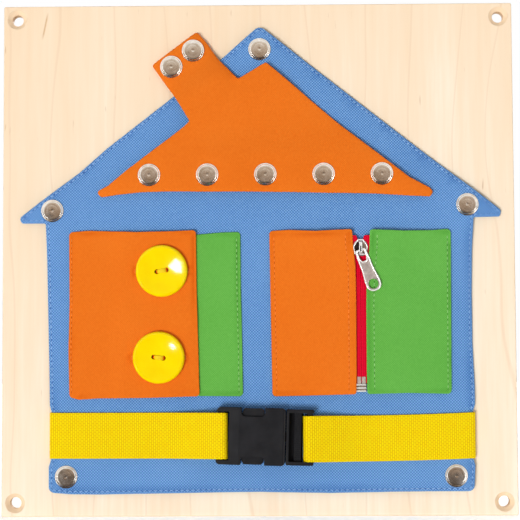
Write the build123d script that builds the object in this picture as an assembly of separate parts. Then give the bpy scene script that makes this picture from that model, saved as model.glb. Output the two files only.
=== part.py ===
from build123d import *
import os
from math import copysign, cos, hypot, radians, sin, sqrt

# A fastening board for small hands: a cloth house on press studs on a plywood square, with
# a loose roof, buttoned and zipped shutters and a belt with a side-release buckle.
# Millimetres. X runs right, Z up, the wall is the plane Y = 0 and the face looks along -Y.
# "Depth" below means the distance in front of the wall, so a depth d lies at Y = -d.

# Plywood board
BOARD_WIDTH = 340.0
BOARD_HEIGHT = 340.0
BOARD_THICK = 9.0
BOARD_CORNER_R = 1.2
BOARD_EDGE_R = 0.7
WALL_HOLE_DIA = 7.5
WALL_HOLE_INSET = 9.0
COUNTERSINK_DIA = 13.0
COUNTERSINK_DEPTH = 2.8

# Cloth, webbing and the room left between soft pieces
CLOTH = 0.9
FLAP_THICK = 1.6
GAP = 0.3
CLOTH_CORNER_R = 2.0

# Snap fasteners
CAP_DIA = 15.0
CAP_BEAD_R = 1.0
CAP_EDGE = 1.3
CAP_DOME = 1.8
CAP_DIMPLE_R = 1.0
CAP_DIMPLE = 0.35
SNAP_POST_DIA = 4.0
SOCKET_DIA = 12.4
SOCKET_HEIGHT = 3.2
SOCKET_WALL = 1.6
SOCKET_FLOOR = 0.8
STUD_FLANGE_DIA = 10.0
STUD_FLANGE = 0.8
STUD_BULB_DIA = 5.6
STUD_NECK_DIA = 4.4
STUD_HEIGHT = 2.1
STUD_SCREW_DIA = 3.2
STUD_SCREW_LENGTH = 7.0
POST_FLANGE_DIA = 9.5
POST_FLANGE = 0.6
SNAP_CLEAR = 0.15
FIT_CLEAR = 0.05

# Blue house, seen from the front
APEX_X = 1.5
APEX_Z = 154.6
APEX_R = 5.0
EAVE_LEFT_X = -158.3
EAVE_RIGHT_X = 160.4
EAVE_LEFT_Z = 23.6
EAVE_RIGHT_Z = 26.3
EAVE_TIP = 5.2
WALL_LEFT_X = -138.8
WALL_RIGHT_X = 141.2
BASE_Z = -154.0
BASE_CORNER_R = 4.0
APEX_SNAP_DROP = 15.9
EAVE_SNAP_IN = 22.2
EAVE_SNAP_UP = 8.0
BASE_SNAP_IN = 12.4
BASE_SNAP_UP = 10.6

# Orange roof with its slanted chimney
ROOF_APEX_X = 5.8
ROOF_APEX_Z = 128.9
ROOF_LEFT_X = -105.4
ROOF_RIGHT_X = 115.0
ROOF_EAVE_Z = 40.2
ROOF_TIP = 4.0
ROOF_ARCH = 3.0
ROOF_CORNER_R = 1.5
ROOF_SNAP_COUNT = 5
ROOF_SNAP_PITCH = 38.3
ROOF_SNAP_X = 5.1
ROOF_SNAP_UP = 14.2
CHIMNEY_FOOT_LEFT = (-45.6, 90.2)
CHIMNEY_TOP_LEFT = (-70.3, 128.6)
CHIMNEY_TOP_RIGHT = (-40.2, 151.0)
CHIMNEY_FOOT_RIGHT = (-11.1, 118.8)
CHIMNEY_SNAP_DROP = 8.9
CHIMNEY_SNAP_PITCH = 18.0

# Shutters of the two windows
WINDOW_TOP = 17.4
WINDOW_BOTTOM = -90.6
BUTTON_FLAP_LEFT = -124.3
BUTTON_FLAP_RIGHT = -39.8
UNDER_FLAP_LEFT = -84.0
UNDER_FLAP_RIGHT = -11.2
LAP_RISE = 8.0
ZIP_FLAP_LEFT = 8.2
ZIP_FLAP_RIGHT = 126.1
ZIP_FLAP_LAP = 16.0

# Buttons
BUTTON_DIA = 34.0
BUTTON_EDGE = 1.9
BUTTON_RIM = 4.2
BUTTON_RIM_DIA = 30.5
BUTTON_CENTRE = 2.9
BUTTON_HOLE_DIA = 3.2
BUTTON_HOLE_PITCH = 6.2
BUTTON_X = -64.2
BUTTON_SHIFT = 1.0
UPPER_BUTTON_TURN = 10.0
LOWER_BUTTON_TURN = -8.0
BUTTON_PITCH = 56.7
BUTTON_DROP = 26.3
THREAD_DIA = 1.9
SHANK_DIA = 3.2
BUTTONHOLE_WIDTH = 3.8

# Zip
ZIP_X = 67.2
ZIP_GAP = 10.4
ZIP_TOP_DROP = 3.2
ZIP_MOUTH = 7.7
ZIP_MOUTH_SPREAD = 3.5
TAPE_WIDTH = 15.0
TAPE_THICK = 0.6
COIL_WIDTH = 2.2
COIL_THICK = 2.1
CHAIN_SPLIT = 0.1
SLIDER_WIDTH = 9.5
SLIDER_FOOT_WIDTH = 6.4
SLIDER_LENGTH = 10.9
SLIDER_DROP = 6.2
SLIDER_PLATE = 1.0
SLIDER_CLEAR = 0.25
SLIDER_WALL = 1.0
SLIDER_POST_WIDTH = 1.4
BAIL_WIDTH = 1.7
BAIL_LENGTH = 7.2
BAIL_THICK = 0.9
PULL_THICK = 1.3
PULL_LENGTH = 24.1
PULL_TILT = 19.6
PULL_END_DIA = 9.8
PULL_NECK = 7.2
PULL_HOLE_DIA = 6.3
PULL_EYE_WIDTH = 4.4
PULL_EYE_LENGTH = 6.2
PULL_RECESS = 0.3
BOX_WIDTH = 7.2
BOX_HEIGHT = 5.3
BOX_WALL = 1.1
BOX_RISE = 2.0
SLEEVE_HEIGHT = 4.6
SLEEVE_WIDTH = 2.4

# Belt and buckle
STRAP_WIDTH = 30.0
STRAP_THICK = 1.4
STRAP_TAIL = 26.2
STRAP_BACK_TAIL = 20.0
STRAP_STEP = 4.2
STRAP_STEP_RUN = 9.8
STRAP_CLIMB = 14.0
STRAP_DIP = 7.0
BUCKLE_X = 17.3
BUCKLE_Z = -117.6
BUCKLE_TILT = 1.7
BUCKLE_THICK = 11.0
SHELL_LENGTH = 45.0
SHELL_WALL = 1.8
SHELL_SIDE = 2.2
BUCKLE_CORNER_R = 2.5
FACE_SLOPE = 2.6
FACE_SLOPE_RUN = 6.5
LIP = 1.2
LIP_GROOVE = 0.4
EAR_LENGTH = 8.2
EAR_WIDTH = 2.7
STRAP_ROOM = 0.8
SHELL_HEIGHT = STRAP_WIDTH + 2 * (STRAP_ROOM + EAR_WIDTH)
STRAP_BAR_DIA = 4.0
STRAP_BAR_IN = 3.7
BAR_CLEAR = 0.6
WINDOW_SPAN = 15.4
WINDOW_IN = 7.9
WINDOW_DEPTH = 5.6
BUCKLE_SEAM = 0.4
PLUG_LENGTH = 18.2
PLUG_STEP = 0.5
PLUG_HEIGHT = SHELL_HEIGHT - 2 * PLUG_STEP
PLUG_THICK = 9.0
PLUG_WEB = 1.8
SLOT_WIDTH = 3.6
LADDER_WIDTH = 4.5
LADDER_RIB_PITCH = 1.3
LADDER_RIB = 0.5
PLUG_BAR_IN = 3.1
TONGUE_WIDTH = 6.0
TONGUE_ROOM = 8.0
TONGUE_LENGTH = SHELL_LENGTH - EAR_LENGTH - SHELL_WALL - TONGUE_ROOM
TONGUE_THICK = 3.0
ARM_IN = 4.8
ARM_ROOT_Z = SHELL_HEIGHT / 2 - SHELL_SIDE - ARM_IN
ARM_WIDTH = 3.0
ARM_CLEAR = 0.4
WING_SINK = 0.4
WING_OUT = SHELL_HEIGHT / 2 - WING_SINK
WING_NOSE = 1.6

# Depths of the layers, from the wall outwards
CLOTH_BACK = BOARD_THICK + STUD_FLANGE + SNAP_CLEAR + SOCKET_HEIGHT
HOUSE_FRONT = CLOTH_BACK + 2 * CLOTH
ROOF_BACK = HOUSE_FRONT + STUD_FLANGE + SNAP_CLEAR + SOCKET_HEIGHT
FLAP_MID = HOUSE_FRONT + GAP + FLAP_THICK / 2
LAP_MID = FLAP_MID + FLAP_THICK + GAP
SLIDER_BACK = HOUSE_FRONT + GAP
COIL_BACK = SLIDER_BACK + SLIDER_PLATE + SLIDER_CLEAR
TAPE_BACK = COIL_BACK + COIL_THICK
TAPE_FRONT = TAPE_BACK + TAPE_THICK
SLIDER_FACE = TAPE_FRONT + SLIDER_CLEAR
ZIP_FLAP_MID = TAPE_FRONT + GAP / 2 + FLAP_THICK / 2
BUTTON_BACK = LAP_MID + FLAP_THICK / 2 + 2 * GAP
BUCKLE_BACK = HOUSE_FRONT + GAP
BUCKLE_MID = BUCKLE_BACK + BUCKLE_THICK / 2
PULL_MID = ZIP_FLAP_MID + FLAP_THICK / 2 + GAP + PULL_THICK / 2


# Helpers

def front(depth):
    """Plane parallel to the wall, seen from the front: local x right, local y up."""
    return Plane(origin=(0, -depth, 0), x_dir=(1, 0, 0), z_dir=(0, -1, 0))


def slab(outline, near, far):
    """A front-view outline thickened from one depth to another."""
    return extrude(front(near) * outline, far - near)


def placed(solid, x, z, depth):
    """A piece whose own Z points out of the wall, set at a place on the front."""
    return front(depth).location * Pos(x, z, 0) * solid


def polygon(points):
    return make_face(Polyline(*points, close=True))


def spun(edges):
    """A round piece turned from a half section in radius and height."""
    return revolve(Plane.XZ * make_face(edges), Axis.Z)


def crown(radius, edge, middle):
    """Arc of a ball, in radius and height, from an edge in to the axis of a round piece."""
    rise = middle - edge
    ball = (radius ** 2 + rise ** 2) / (2 * rise)
    half = radius / 2
    height = middle - ball + copysign(sqrt(ball ** 2 - half ** 2), ball)
    return ThreePointArc((radius, edge), (half, height), (0, middle))


def corner(face, point):
    """The vertex of a flat face that lies nearest to a point."""
    return face.vertices().sort_by_distance((point[0], point[1], 0))[0]


def block(x_low, x_high, z_low, z_high, near, far):
    outline = Pos((x_low + x_high) / 2, (z_low + z_high) / 2) * Rectangle(x_high - x_low, z_high - z_low)
    return slab(outline, near, far)


def ribbon(points, radii, thick, z_low, z_high):
    """A band that follows points of x and depth seen from above, as wide as z_low to z_high."""
    seen_from_above = Plane(origin=(0, 0, z_high), x_dir=(1, 0, 0), z_dir=(0, 0, -1))
    section = trace(FilletPolyline(*points, radius=radii), line_width=thick)
    return extrude(seen_from_above * section, z_high - z_low)


def upright_pin(x, depth, diameter, z_low, z_high):
    pin = Cylinder(diameter / 2, z_high - z_low)
    return Pos(x, -depth, (z_low + z_high) / 2) * pin


# Places that several pieces share

def house_points():
    return [
        (APEX_X, APEX_Z),
        (EAVE_RIGHT_X, EAVE_RIGHT_Z + EAVE_TIP),
        (EAVE_RIGHT_X, EAVE_RIGHT_Z),
        (WALL_RIGHT_X, EAVE_RIGHT_Z),
        (WALL_RIGHT_X, BASE_Z),
        (WALL_LEFT_X, BASE_Z),
        (WALL_LEFT_X, EAVE_LEFT_Z),
        (EAVE_LEFT_X, EAVE_LEFT_Z),
        (EAVE_LEFT_X, EAVE_LEFT_Z + EAVE_TIP),
    ]


def house_snap_places():
    return [
        (APEX_X, APEX_Z - APEX_SNAP_DROP),
        (EAVE_LEFT_X + EAVE_SNAP_IN, EAVE_LEFT_Z + EAVE_SNAP_UP),
        (EAVE_RIGHT_X - EAVE_SNAP_IN, EAVE_RIGHT_Z + EAVE_SNAP_UP),
        (WALL_LEFT_X + BASE_SNAP_IN, BASE_Z + BASE_SNAP_UP),
        (WALL_RIGHT_X - BASE_SNAP_IN, BASE_Z + BASE_SNAP_UP),
    ]


def eave_snap_places():
    first = ROOF_SNAP_X - ROOF_SNAP_PITCH * (ROOF_SNAP_COUNT - 1) / 2
    return [(first + i * ROOF_SNAP_PITCH, ROOF_EAVE_Z + ROOF_SNAP_UP) for i in range(ROOF_SNAP_COUNT)]


def chimney_axes():
    """Middle of the chimney's top edge, the way along that edge and the way down from it."""
    (x1, z1), (x2, z2) = CHIMNEY_TOP_LEFT, CHIMNEY_TOP_RIGHT
    length = hypot(x2 - x1, z2 - z1)
    along = ((x2 - x1) / length, (z2 - z1) / length)
    down = (along[1], -along[0])
    return ((x1 + x2) / 2, (z1 + z2) / 2), along, down


def chimney_snap_places():
    middle, along, down = chimney_axes()
    half = CHIMNEY_SNAP_PITCH / 2
    return [
        (middle[0] + CHIMNEY_SNAP_DROP * down[0] + side * along[0],
         middle[1] + CHIMNEY_SNAP_DROP * down[1] + side * along[1])
        for side in (-half, half)
    ]


def wall_hole_places():
    x = BOARD_WIDTH / 2 - WALL_HOLE_INSET
    z = BOARD_HEIGHT / 2 - WALL_HOLE_INSET
    return [(-x, z), (x, z), (-x, -z), (x, -z)]


def button_places():
    top = WINDOW_TOP - BUTTON_DROP
    return [(BUTTON_X + BUTTON_SHIFT, top), (BUTTON_X - BUTTON_SHIFT, top - BUTTON_PITCH)]


# Plywood board

def plywood_board():
    outline = RectangleRounded(BOARD_WIDTH, BOARD_HEIGHT, BOARD_CORNER_R)
    board = slab(outline, 0, BOARD_THICK)
    face = board.faces().sort_by(Axis.Y)[0]
    board = fillet(face.edges(), BOARD_EDGE_R)
    hole = WALL_HOLE_DIA / 2
    sink = COUNTERSINK_DIA / 2
    seat = BOARD_THICK - COUNTERSINK_DEPTH
    bore = spun(Polyline((0, 0), (hole, 0), (hole, seat), (sink, BOARD_THICK), (0, BOARD_THICK), close=True))
    for x, z in wall_hole_places():
        board -= placed(bore, x, z, 0)
    depth = STUD_SCREW_LENGTH + FIT_CLEAR
    pilot = Pos(0, 0, -depth / 2) * Cylinder(STUD_SCREW_DIA / 2 + FIT_CLEAR, depth)
    for x, z in house_snap_places() + chimney_snap_places():
        board -= placed(pilot, x, z, BOARD_THICK)
    return board


# Snap fasteners, each with its own Z out of the wall and zero where it meets the cloth or board

def snap_cap():
    """Front half of a snap: a beaded cap with a dimple, on a post that goes through the cloth."""
    rim = CAP_DIA / 2
    bead = rim - 2 * CAP_BEAD_R
    post = SNAP_POST_DIA / 2
    length = 2 * CLOTH + SOCKET_FLOOR
    middle = CAP_DOME - CAP_DIMPLE
    return spun([
        Polyline((0, middle), (0, -length), (post, -length), (post, 0), (rim - CAP_EDGE / 3, 0)),
        Polyline((rim - CAP_EDGE / 3, 0), (rim, CAP_EDGE / 3), (rim, CAP_EDGE)),
        ThreePointArc((rim, CAP_EDGE), (rim - CAP_BEAD_R, CAP_EDGE + CAP_BEAD_R), (bead, CAP_EDGE)),
        Polyline((bead, CAP_EDGE), (CAP_DIMPLE_R, CAP_DOME), (0, middle)),
    ])


def snap_socket():
    """Back half of a snap: a ring that grips the stud, clenched on the cap's post."""
    ring = SOCKET_DIA / 2
    barrel = ring - SOCKET_WALL / 2
    bore = STUD_BULB_DIA / 2 + SNAP_CLEAR
    post = SNAP_POST_DIA / 2 + FIT_CLEAR
    inside = [(post, 0), (post, -SOCKET_FLOOR), (bore, -SOCKET_FLOOR), (bore, -SOCKET_HEIGHT)]
    outside = [(barrel, -SOCKET_HEIGHT), (barrel, -2 * SOCKET_FLOOR), (ring, -SOCKET_FLOOR), (ring, 0)]
    return spun(Polyline(*inside, *outside, close=True))


def stud_section(below):
    """Half section of a stud whose shank goes below its flange through the given points."""
    flange = STUD_FLANGE_DIA / 2
    neck = STUD_NECK_DIA / 2
    bulb = STUD_BULB_DIA / 2
    top = STUD_FLANGE + STUD_HEIGHT
    waist = STUD_FLANGE + STUD_HEIGHT / 4
    bulge = STUD_FLANGE + STUD_HEIGHT / 2
    above = [(flange, 0), (flange, STUD_FLANGE), (neck, STUD_FLANGE), (neck, waist), (bulb, bulge)]
    return [Polyline((0, top), *below, *above), crown(bulb, bulge, top)]


def screw_stud():
    """Stud on a wood screw, driven into the board."""
    screw = STUD_SCREW_DIA / 2
    tip = STUD_SCREW_LENGTH - screw
    return spun(stud_section([(0, -STUD_SCREW_LENGTH), (screw, -tip), (screw, 0)]))


def cloth_stud():
    """Stud riveted to the house's front; its post comes through from behind."""
    hole = SNAP_POST_DIA / 2 + FIT_CLEAR
    return spun(stud_section([(0, STUD_FLANGE), (hole, STUD_FLANGE), (hole, 0)]))


def stud_post():
    """Rivet behind the house cloth that carries a stud."""
    flange = POST_FLANGE_DIA / 2
    post = SNAP_POST_DIA / 2
    top = 2 * CLOTH + STUD_FLANGE - FIT_CLEAR
    head = [(0, -POST_FLANGE), (flange, -POST_FLANGE), (flange, 0)]
    return spun(Polyline(*head, (post, 0), (post, top), (0, top), close=True))


def group(solid, places, depth):
    return Compound(children=[placed(solid, x, z, depth) for x, z in places])


def post_holes(places, near, far):
    hole = Circle(SNAP_POST_DIA / 2 + FIT_CLEAR)
    return [slab(Pos(x, z) * hole, near, far) for x, z in places]


# Blue house

def house_outline():
    points = house_points()
    face = polygon(points)
    face = fillet(corner(face, points[0]), APEX_R)
    for point in (points[1], points[2], points[7], points[8]):
        face = fillet(corner(face, point), CLOTH_CORNER_R)
    for point in (points[4], points[5]):
        face = fillet(corner(face, point), BASE_CORNER_R)
    return face


def house_layer(near, far):
    layer = slab(house_outline(), near, far)
    for hole in post_holes(house_snap_places() + eave_snap_places(), near, far):
        layer -= hole
    return layer


# Orange roof: level over the house, and down to the board where the chimney leaves the house

def roof_outline():
    right_tip = (ROOF_RIGHT_X, ROOF_EAVE_Z)
    left_tip = (ROOF_LEFT_X, ROOF_EAVE_Z)
    points = [
        left_tip, (ROOF_LEFT_X, ROOF_EAVE_Z + ROOF_TIP),
        CHIMNEY_FOOT_LEFT, CHIMNEY_TOP_LEFT, CHIMNEY_TOP_RIGHT, CHIMNEY_FOOT_RIGHT,
        (ROOF_APEX_X, ROOF_APEX_Z), (ROOF_RIGHT_X, ROOF_EAVE_Z + ROOF_TIP), right_tip]
    crest = ((ROOF_LEFT_X + ROOF_RIGHT_X) / 2, ROOF_EAVE_Z + ROOF_ARCH)
    face = make_face([Polyline(*points), ThreePointArc(right_tip, crest, left_tip)])
    return fillet(face.vertices(), ROOF_CORNER_R)


def roof_levels():
    """Where the chimney leaves the board, measured down from its top edge, and where it meets the roof."""
    start = CHIMNEY_SNAP_DROP + CAP_DIA / 2 + GAP
    eave = (EAVE_LEFT_X - APEX_X, EAVE_LEFT_Z + EAVE_TIP - APEX_Z)
    span = hypot(*eave)
    drops = [
        abs((p[0] - APEX_X) * eave[1] - (p[1] - APEX_Z) * eave[0]) / span
        for p in (CHIMNEY_TOP_LEFT, CHIMNEY_TOP_RIGHT)]
    house_edge = min(drops)
    slope = (HOUSE_FRONT + 2 * GAP - CLOTH_BACK) / (house_edge - start)
    end = start + (ROOF_BACK - CLOTH_BACK) / slope
    return start, end


def roof_layer(lift):
    """One cloth of the roof, lifted by this much from its back face."""
    middle, along, down = chimney_axes()
    start, end = roof_levels()
    far = ROOF_APEX_Z - ROOF_LEFT_X + ROOF_RIGHT_X
    low = CLOTH_BACK + lift
    high = ROOF_BACK + lift
    back = [(-CHIMNEY_SNAP_DROP, low), (start, low), (end, high), (far, high)]
    face = [(s, d + CLOTH) for s, d in reversed(back)]
    origin = (middle[0], 0, middle[1])
    across = Plane(origin=origin, x_dir=(down[0], 0, down[1]), z_dir=(-along[0], 0, -along[1]))
    sheet = extrude(across * polygon(back + face), far, both=True)
    layer = sheet & slab(roof_outline(), 0, high + CLOTH)
    for hole in post_holes(eave_snap_places() + chimney_snap_places(), 0, high + CLOTH):
        layer -= hole
    return layer


# Shutters: cloth panels sewn down along one edge, which is rounded about the line that it turns on

def flap_outline(x_low, x_high):
    outline = RectangleRounded(x_high - x_low, WINDOW_TOP - WINDOW_BOTTOM, CLOTH_CORNER_R)
    return Pos((x_low + x_high) / 2, (WINDOW_TOP + WINDOW_BOTTOM) / 2) * outline


def flap(points, radii, hinge):
    """A panel along points of x and depth, with its sewn edge on the first or last of them."""
    panel = ribbon(points, radii, FLAP_THICK, WINDOW_BOTTOM, WINDOW_TOP)
    panel += upright_pin(hinge[0], hinge[1], FLAP_THICK, WINDOW_BOTTOM, WINDOW_TOP)
    xs = [x for x, d in points] + [hinge[0] - FLAP_THICK / 2, hinge[0] + FLAP_THICK / 2]
    return panel & slab(flap_outline(min(xs), max(xs)), HOUSE_FRONT, BUTTON_BACK + FLAP_THICK)


def button_flap():
    """Outer orange shutter, which lies over the green one and has two buttonholes."""
    hinge = (BUTTON_FLAP_LEFT + FLAP_THICK / 2, FLAP_MID)
    lap = UNDER_FLAP_LEFT - LAP_RISE / 2
    points = [hinge, (lap - LAP_RISE, FLAP_MID), (lap, LAP_MID), (BUTTON_FLAP_RIGHT, LAP_MID)]
    panel = flap(points, FLAP_THICK, hinge)
    slit = SlotOverall(BUTTON_DIA, BUTTONHOLE_WIDTH)
    for x, z in button_places():
        panel -= slab(Pos(x, z) * slit, FLAP_MID, BUTTON_BACK)
    return panel


def under_flap():
    """Green shutter that carries the buttons."""
    hinge_x = UNDER_FLAP_RIGHT - FLAP_THICK / 2
    panel = block(UNDER_FLAP_LEFT, hinge_x, WINDOW_BOTTOM, WINDOW_TOP, FLAP_MID - FLAP_THICK / 2,
                  FLAP_MID + FLAP_THICK / 2)
    panel += upright_pin(hinge_x, FLAP_MID, FLAP_THICK, WINDOW_BOTTOM, WINDOW_TOP)
    return panel & slab(flap_outline(UNDER_FLAP_LEFT, UNDER_FLAP_RIGHT), HOUSE_FRONT, BUTTON_BACK)


def zip_flap(side):
    """Shutter beside the zip, orange for side -1 and green for side 1, raised over the zip's tape."""
    outer = ZIP_FLAP_LEFT if side < 0 else ZIP_FLAP_RIGHT
    hinge = (outer - side * FLAP_THICK / 2, FLAP_MID)
    edge = ZIP_X + side * ZIP_GAP / 2
    points = [hinge, (edge + side * ZIP_FLAP_LAP, ZIP_FLAP_MID), (edge, ZIP_FLAP_MID)]
    return flap(points, FLAP_THICK, hinge)


# Buttons and the thread that holds them

def button():
    """Two-hole button with a raised rim and a dished middle."""
    rim = BUTTON_DIA / 2
    crest = BUTTON_RIM_DIA / 2
    edge = BUTTON_EDGE / 2
    swell = BUTTON_RIM - BUTTON_EDGE
    slant = sqrt(0.5)
    shoulder = (crest + (rim - crest) * slant, BUTTON_EDGE + swell * slant)
    underside = (rim - edge + edge * slant, edge - edge * slant)
    body = spun([
        Polyline((0, BUTTON_CENTRE), (0, 0), (rim - edge, 0)),
        ThreePointArc((rim - edge, 0), underside, (rim, edge)),
        Line((rim, edge), (rim, BUTTON_EDGE)),
        ThreePointArc((rim, BUTTON_EDGE), shoulder, (crest, BUTTON_RIM)),
        crown(crest, BUTTON_RIM, BUTTON_CENTRE),
    ])
    hole = Cylinder(BUTTON_HOLE_DIA / 2, 3 * BUTTON_RIM)
    for side in (-1, 1):
        body -= Pos(side * BUTTON_HOLE_PITCH / 2, 0, 0) * hole
    return body


def button_thread():
    """Thread from the green cloth up to the button, through its two holes and across its middle."""
    base = FLAP_MID + FLAP_THICK / 2 + GAP / 2 - BUTTON_BACK
    thread = THREAD_DIA / 2
    under = -GAP
    shank = Pos(0, 0, (base + under) / 2) * Cylinder(SHANK_DIA / 2, under - base)
    bridge = SlotCenterToCenter(BUTTON_HOLE_PITCH, THREAD_DIA)
    stitch = shank + extrude(bridge, -2 * GAP)
    top = BUTTON_CENTRE + GAP
    stitch += Pos(0, 0, top) * extrude(bridge, thread)
    for side in (-1, 1):
        leg = Pos(side * BUTTON_HOLE_PITCH / 2, 0, top / 2) * Cylinder(thread, top)
        stitch += leg
    return stitch


# Zip: tapes and coils under the shutters' free edges, box and slider on the green side

def zip_top():
    return WINDOW_TOP - ZIP_TOP_DROP


def box_top():
    return WINDOW_BOTTOM + BOX_RISE + BOX_HEIGHT


def zip_tape(side):
    inner = CHAIN_SPLIT
    cut = SLEEVE_WIDTH + 2 * GAP
    top = zip_top()
    low = box_top() + GAP
    sleeve = low + SLEEVE_HEIGHT
    points = [
        (inner, top - ZIP_MOUTH), (inner + ZIP_MOUTH_SPREAD, top), (TAPE_WIDTH, top),
        (TAPE_WIDTH, low), (cut, low), (cut, sleeve), (inner, sleeve)]
    return slab(polygon([(ZIP_X + side * x, z) for x, z in points]), TAPE_BACK, TAPE_FRONT)


def zip_coil(side):
    near, far = sorted((ZIP_X + side * CHAIN_SPLIT, ZIP_X + side * (CHAIN_SPLIT + COIL_WIDTH)))
    low = box_top() + SLEEVE_HEIGHT + GAP
    return block(near, far, low, zip_top() - ZIP_MOUTH, COIL_BACK, TAPE_BACK)


def zip_box():
    """Metal box on the green side with its sleeve, open above for the pin on the orange side."""
    left = ZIP_X - SLEEVE_WIDTH - 2 * GAP - BOX_WALL
    low = WINDOW_BOTTOM + BOX_RISE
    near = COIL_BACK
    far = SLIDER_FACE + GAP
    box = block(left, left + BOX_WIDTH, low, box_top(), near, far)
    box += block(ZIP_X + GAP, ZIP_X + GAP + SLEEVE_WIDTH, low, box_top() + SLEEVE_HEIGHT, near, far)
    return box - block(left + BOX_WALL, ZIP_X + GAP / 2, low + BOX_WALL, box_top(), near, far)


def zip_pin():
    low = WINDOW_BOTTOM + BOX_RISE + BOX_WALL + GAP
    high = box_top() + SLEEVE_HEIGHT
    return block(ZIP_X - SLEEVE_WIDTH - GAP, ZIP_X - GAP, low, high, COIL_BACK, SLIDER_FACE + GAP)


def slider_outline():
    head = SLIDER_WIDTH / 2
    top = WINDOW_TOP - SLIDER_DROP
    foot = Pos(ZIP_X, top - SLIDER_LENGTH + head / 2) * RectangleRounded(SLIDER_FOOT_WIDTH, head, head / 4)
    shoulders = Pos(ZIP_X, top - head) * Circle(head)
    return make_hull(foot.edges() + shoulders.edges())


def slider_body():
    """Two plates joined by a post in the mouth of the zip; side walls guide the coils."""
    outline = slider_outline()
    top = WINDOW_TOP - SLIDER_DROP
    back = slab(outline, SLIDER_BACK, SLIDER_BACK + SLIDER_PLATE)
    face = slab(outline, SLIDER_FACE, SLIDER_FACE + SLIDER_PLATE)
    face = fillet(face.faces().sort_by(Axis.Y)[0].edges(), SLIDER_PLATE / 2)
    post = block(ZIP_X - SLIDER_POST_WIDTH / 2, ZIP_X + SLIDER_POST_WIDTH / 2, top - 2 * SLIDER_POST_WIDTH,
                 top - SLIDER_POST_WIDTH / 2, SLIDER_BACK, SLIDER_FACE + SLIDER_PLATE / 2)
    body = back + face + post
    wall_top = top - SLIDER_WIDTH / 2
    wall_out = SLIDER_FOOT_WIDTH / 2 + SLIDER_WALL
    walls = [
        block(ZIP_X + side * wall_out - SLIDER_WALL / 2, ZIP_X + side * wall_out + SLIDER_WALL / 2,
              wall_top - SLIDER_WALL, wall_top + SLIDER_WALL, SLIDER_BACK, TAPE_BACK - SLIDER_CLEAR)
        for side in (-1, 1)]
    return body + walls


def bail_low():
    return WINDOW_TOP - SLIDER_DROP - SLIDER_LENGTH / 2 - BAIL_LENGTH / 2


def slider_bail():
    """Arch on the slider's face that the pull hangs in."""
    low = bail_low()
    near = SLIDER_FACE + SLIDER_PLATE
    far = PULL_MID + PULL_THICK / 2 + GAP + BAIL_THICK
    half = BAIL_WIDTH / 2
    arch = block(ZIP_X - half, ZIP_X + half, low, low + BAIL_LENGTH, near, far)
    arch = fillet(arch.edges().filter_by(Axis.X).group_by(Axis.Y)[0], BAIL_THICK)
    return arch - block(ZIP_X - half, ZIP_X + half, low + BAIL_THICK, low + BAIL_LENGTH - BAIL_THICK, near,
                        far - BAIL_THICK)


def pull_pivot():
    return ZIP_X, bail_low() + BAIL_LENGTH / 3


def pull_tab():
    """Pull: a bar under the bail, an eye around the bail's foot, a recessed grip and an end hole."""
    end = PULL_END_DIA / 2
    bar = PULL_THICK / 2
    neck = PULL_NECK / 2
    eye_end = PULL_EYE_LENGTH + bar
    rounds = [Pos(0, -PULL_LENGTH) * Circle(end), Pos(0, -eye_end) * Circle(neck)]
    head = Pos(0, -bar) * Rectangle(PULL_NECK, bar)
    plate = make_hull(rounds[0].edges() + rounds[1].edges() + head.edges())
    eye = Pos(0, -(bar + eye_end) / 2) * RectangleRounded(PULL_EYE_WIDTH, PULL_EYE_LENGTH, bar)
    hole = Pos(0, -PULL_LENGTH) * Circle(PULL_HOLE_DIA / 2)
    grip_top = -eye_end - bar * 2
    grip_low = -PULL_LENGTH + end
    grip = Pos(0, (grip_top + grip_low) / 2) * RectangleRounded(PULL_EYE_WIDTH, grip_top - grip_low, bar)
    tab = extrude(plate - eye - hole, PULL_THICK / 2, both=True)
    tab += Rot(0, 90, 0) * Cylinder(bar, PULL_NECK)
    tab -= Pos(0, 0, PULL_THICK / 2 - PULL_RECESS) * extrude(grip, PULL_THICK)
    x, z = pull_pivot()
    return placed(Rot(0, 0, PULL_TILT) * tab, x, z, PULL_MID)


# Buckle, drawn level with its seam at zero and then set on the belt with its slight tilt

def on_belt(piece):
    return Pos(BUCKLE_X, 0, BUCKLE_Z) * Rot(0, BUCKLE_TILT, 0) * piece


def shell_bar_x():
    return -SHELL_LENGTH + STRAP_BAR_IN


def plug_bar_x():
    return BUCKLE_SEAM + PLUG_LENGTH - PLUG_BAR_IN


def bar_place(local_x):
    """Where a strap bar stands once the buckle is tilted."""
    return BUCKLE_X + local_x * cos(radians(BUCKLE_TILT)), BUCKLE_Z - local_x * sin(radians(BUCKLE_TILT))


def strap_slot():
    """Half the height of the slot that the webbing passes through, in both halves of the buckle."""
    return STRAP_WIDTH / 2 + STRAP_ROOM


def shell_body_left():
    """Where the shell's hollow body ends and its two ears begin."""
    return -SHELL_LENGTH + EAR_LENGTH


def window_ends():
    """Left and right ends of the side windows, which stand in from the strap end of the body."""
    left = shell_body_left() + WINDOW_IN
    return left, left + WINDOW_SPAN


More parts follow.
